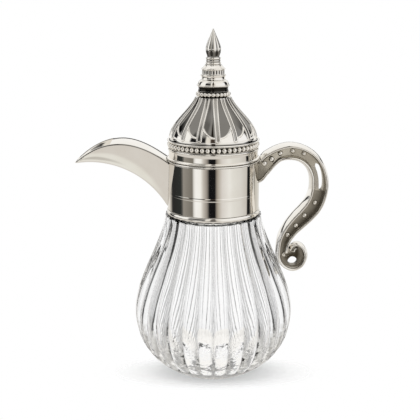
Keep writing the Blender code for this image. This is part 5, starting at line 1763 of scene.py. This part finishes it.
add_point_value(crown, "patina_and_shade", groove_patina_and_shade(CROWN_RADIUS, 0.8 * CROWN_FLUTE_DEPTH, flute_low, flute_top))

low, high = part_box("finial_rings")
third = (high.z - low.z) / 3.0
rings_outline = []
for index, radius in enumerate((high.x, high.x - 0.5 * MM, high.x - 0.3 * MM)):
    foot = low.z + index * third
    rings_outline += half_round(RINGS_WAIST, radius, foot, foot + third, 8)[(1 if index else 0):]
rings = stacked("finial_rings", "rings", rings_outline)
add_point_value(rings, "patina_and_shade", groove_patina_and_shade(RINGS_WAIST + 0.7 * MM, 0.6 * MM, low.z, high.z))

low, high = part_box("finial_bud")
bud_low = low.z
bud_radius = high.x
bud_lower = curve((BUD_FOOT_RADIUS, low.z), (BUD_FOOT_RADIUS + 0.35 * MM, low.z + 1.4 * MM),
                  (bud_radius, low.z + 0.6 * BUD_WIDEST), (bud_radius, low.z + BUD_WIDEST), 10)
bud_upper = curve((bud_radius, low.z + BUD_WIDEST), (bud_radius, low.z + BUD_WIDEST + BUD_FULLNESS),
                  (BUD_POINT_RADIUS, high.z - BUD_POINT_LENGTH), (BUD_TIP_RADIUS, high.z - 0.3 * MM), 30)
bud_outline = [(0.0, low.z + STUD_IN_BUD), (STUD_BORE, low.z + STUD_IN_BUD), (STUD_BORE, low.z)]
bud_outline += bud_lower + bud_upper[1:] + [(0.6 * BUD_TIP_RADIUS, high.z - 0.06 * MM), (0.0, high.z)]


def bud_relief(radius, height, angle):
    """Petals divided by narrow grooves, which die out at the foot and the tip."""
    if radius < STUD_BORE + 0.1 * MM and height < bud_low + STUD_IN_BUD + 0.1 * MM:
        return radius
    share = radius / bud_radius
    fade = ease(height - bud_low, 1.5 * MM) * share
    return radius - BUD_PETAL_DEPTH * fade * wave(BUD_PETALS, angle - BUD_PETAL_TURN) ** BUD_PETAL_SHARPNESS


bud = plated("finial_bud", "bud", bud_outline, "lid", 0.0, bud_relief, BUD_PETALS * 16)
bud_radii = [(height, radius) for radius, height in bud_lower + bud_upper[1:]]


def bud_patina_and_shade(place):
    """Dark along the grooves between the petals from patina and painted shade, and towards the foot from
    painted shade.
    """
    full = value_at(bud_radii, place.z)
    radius = place.xy.length
    if radius < 0.5 * full:
        return 0.0
    groove = (full - radius) / BUD_PETAL_DEPTH
    foot = BUD_DARK * ease(bud_low + BUD_DARK_FOOT - place.z, BUD_FOOT_FADE)
    return max(0.0, min(BUD_DARKEST, BUD_DARK * groove + foot))


add_point_value(bud, "patina_and_shade", bud_patina_and_shade)

# A threaded steel stud hangs from the bud and pulls the stack, the dome and the plug together
# against a soft washer and a nut under the plug.
STUD_RADIUS = 2.0 * MM
STUD_PITCH = 0.7 * MM
STUD_THREAD = 0.25 * MM
STUD_PLAIN_FROM = 190.0 * MM
NUT_ACROSS = 3.46 * MM
NUT_CHAMFER = 0.5 * MM

low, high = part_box("lid_stud")
stud_outline = [(0.0, low.z), (STUD_RADIUS - 0.4 * MM, low.z)]
stud_outline += threaded_side(STUD_RADIUS, low.z + 0.4 * MM, STUD_PLAIN_FROM, STUD_PITCH)
stud_outline += [(STUD_RADIUS, high.z - 0.3 * MM), (STUD_RADIUS - 0.3 * MM, high.z), (0.0, high.z)]
turned_for("lid_stud", "stud", stud_outline, steel, "lid", 0.0,
           thread(STUD_RADIUS, STUD_PITCH, STUD_THREAD, low.z + 0.3 * MM, STUD_PLAIN_FROM), 32)

low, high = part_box("lid_washer")
turned_for("lid_washer", "washer", tube_outline(STUD_BORE, high.x, low.z, high.z), silicone,
           "lid", 0.25 * MM, sides=64)

low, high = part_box("lid_nut")
nut_low = low.z
nut_top = high.z


def hexagon(radius, height, angle):
    """Six flats, with the corners turned off at both ends."""
    if radius < NUT_ACROSS - 1.0 * MM:
        return radius
    third_turn = math.pi / 3.0
    flat = NUT_ACROSS / math.cos((angle + 0.5 * third_turn) % third_turn - 0.5 * third_turn)
    from_end = min(height - nut_low, nut_top - height)
    return min(flat, NUT_ACROSS + 0.1 * MM + from_end)


nut_outline = [(STUD_BORE, low.z), (NUT_ACROSS, low.z)]
nut_outline += [(NUT_ACROSS, low.z + NUT_CHAMFER * share) for share in (0.25, 0.5, 0.75, 1.0)]
nut_outline += [(NUT_ACROSS, high.z - NUT_CHAMFER * share) for share in (1.0, 0.75, 0.5, 0.25)]
nut_outline += [(NUT_ACROSS, high.z), (STUD_BORE, high.z)]
turned_for("lid_nut", "nut", nut_outline, steel, "lid", 0.0, hexagon, 96)
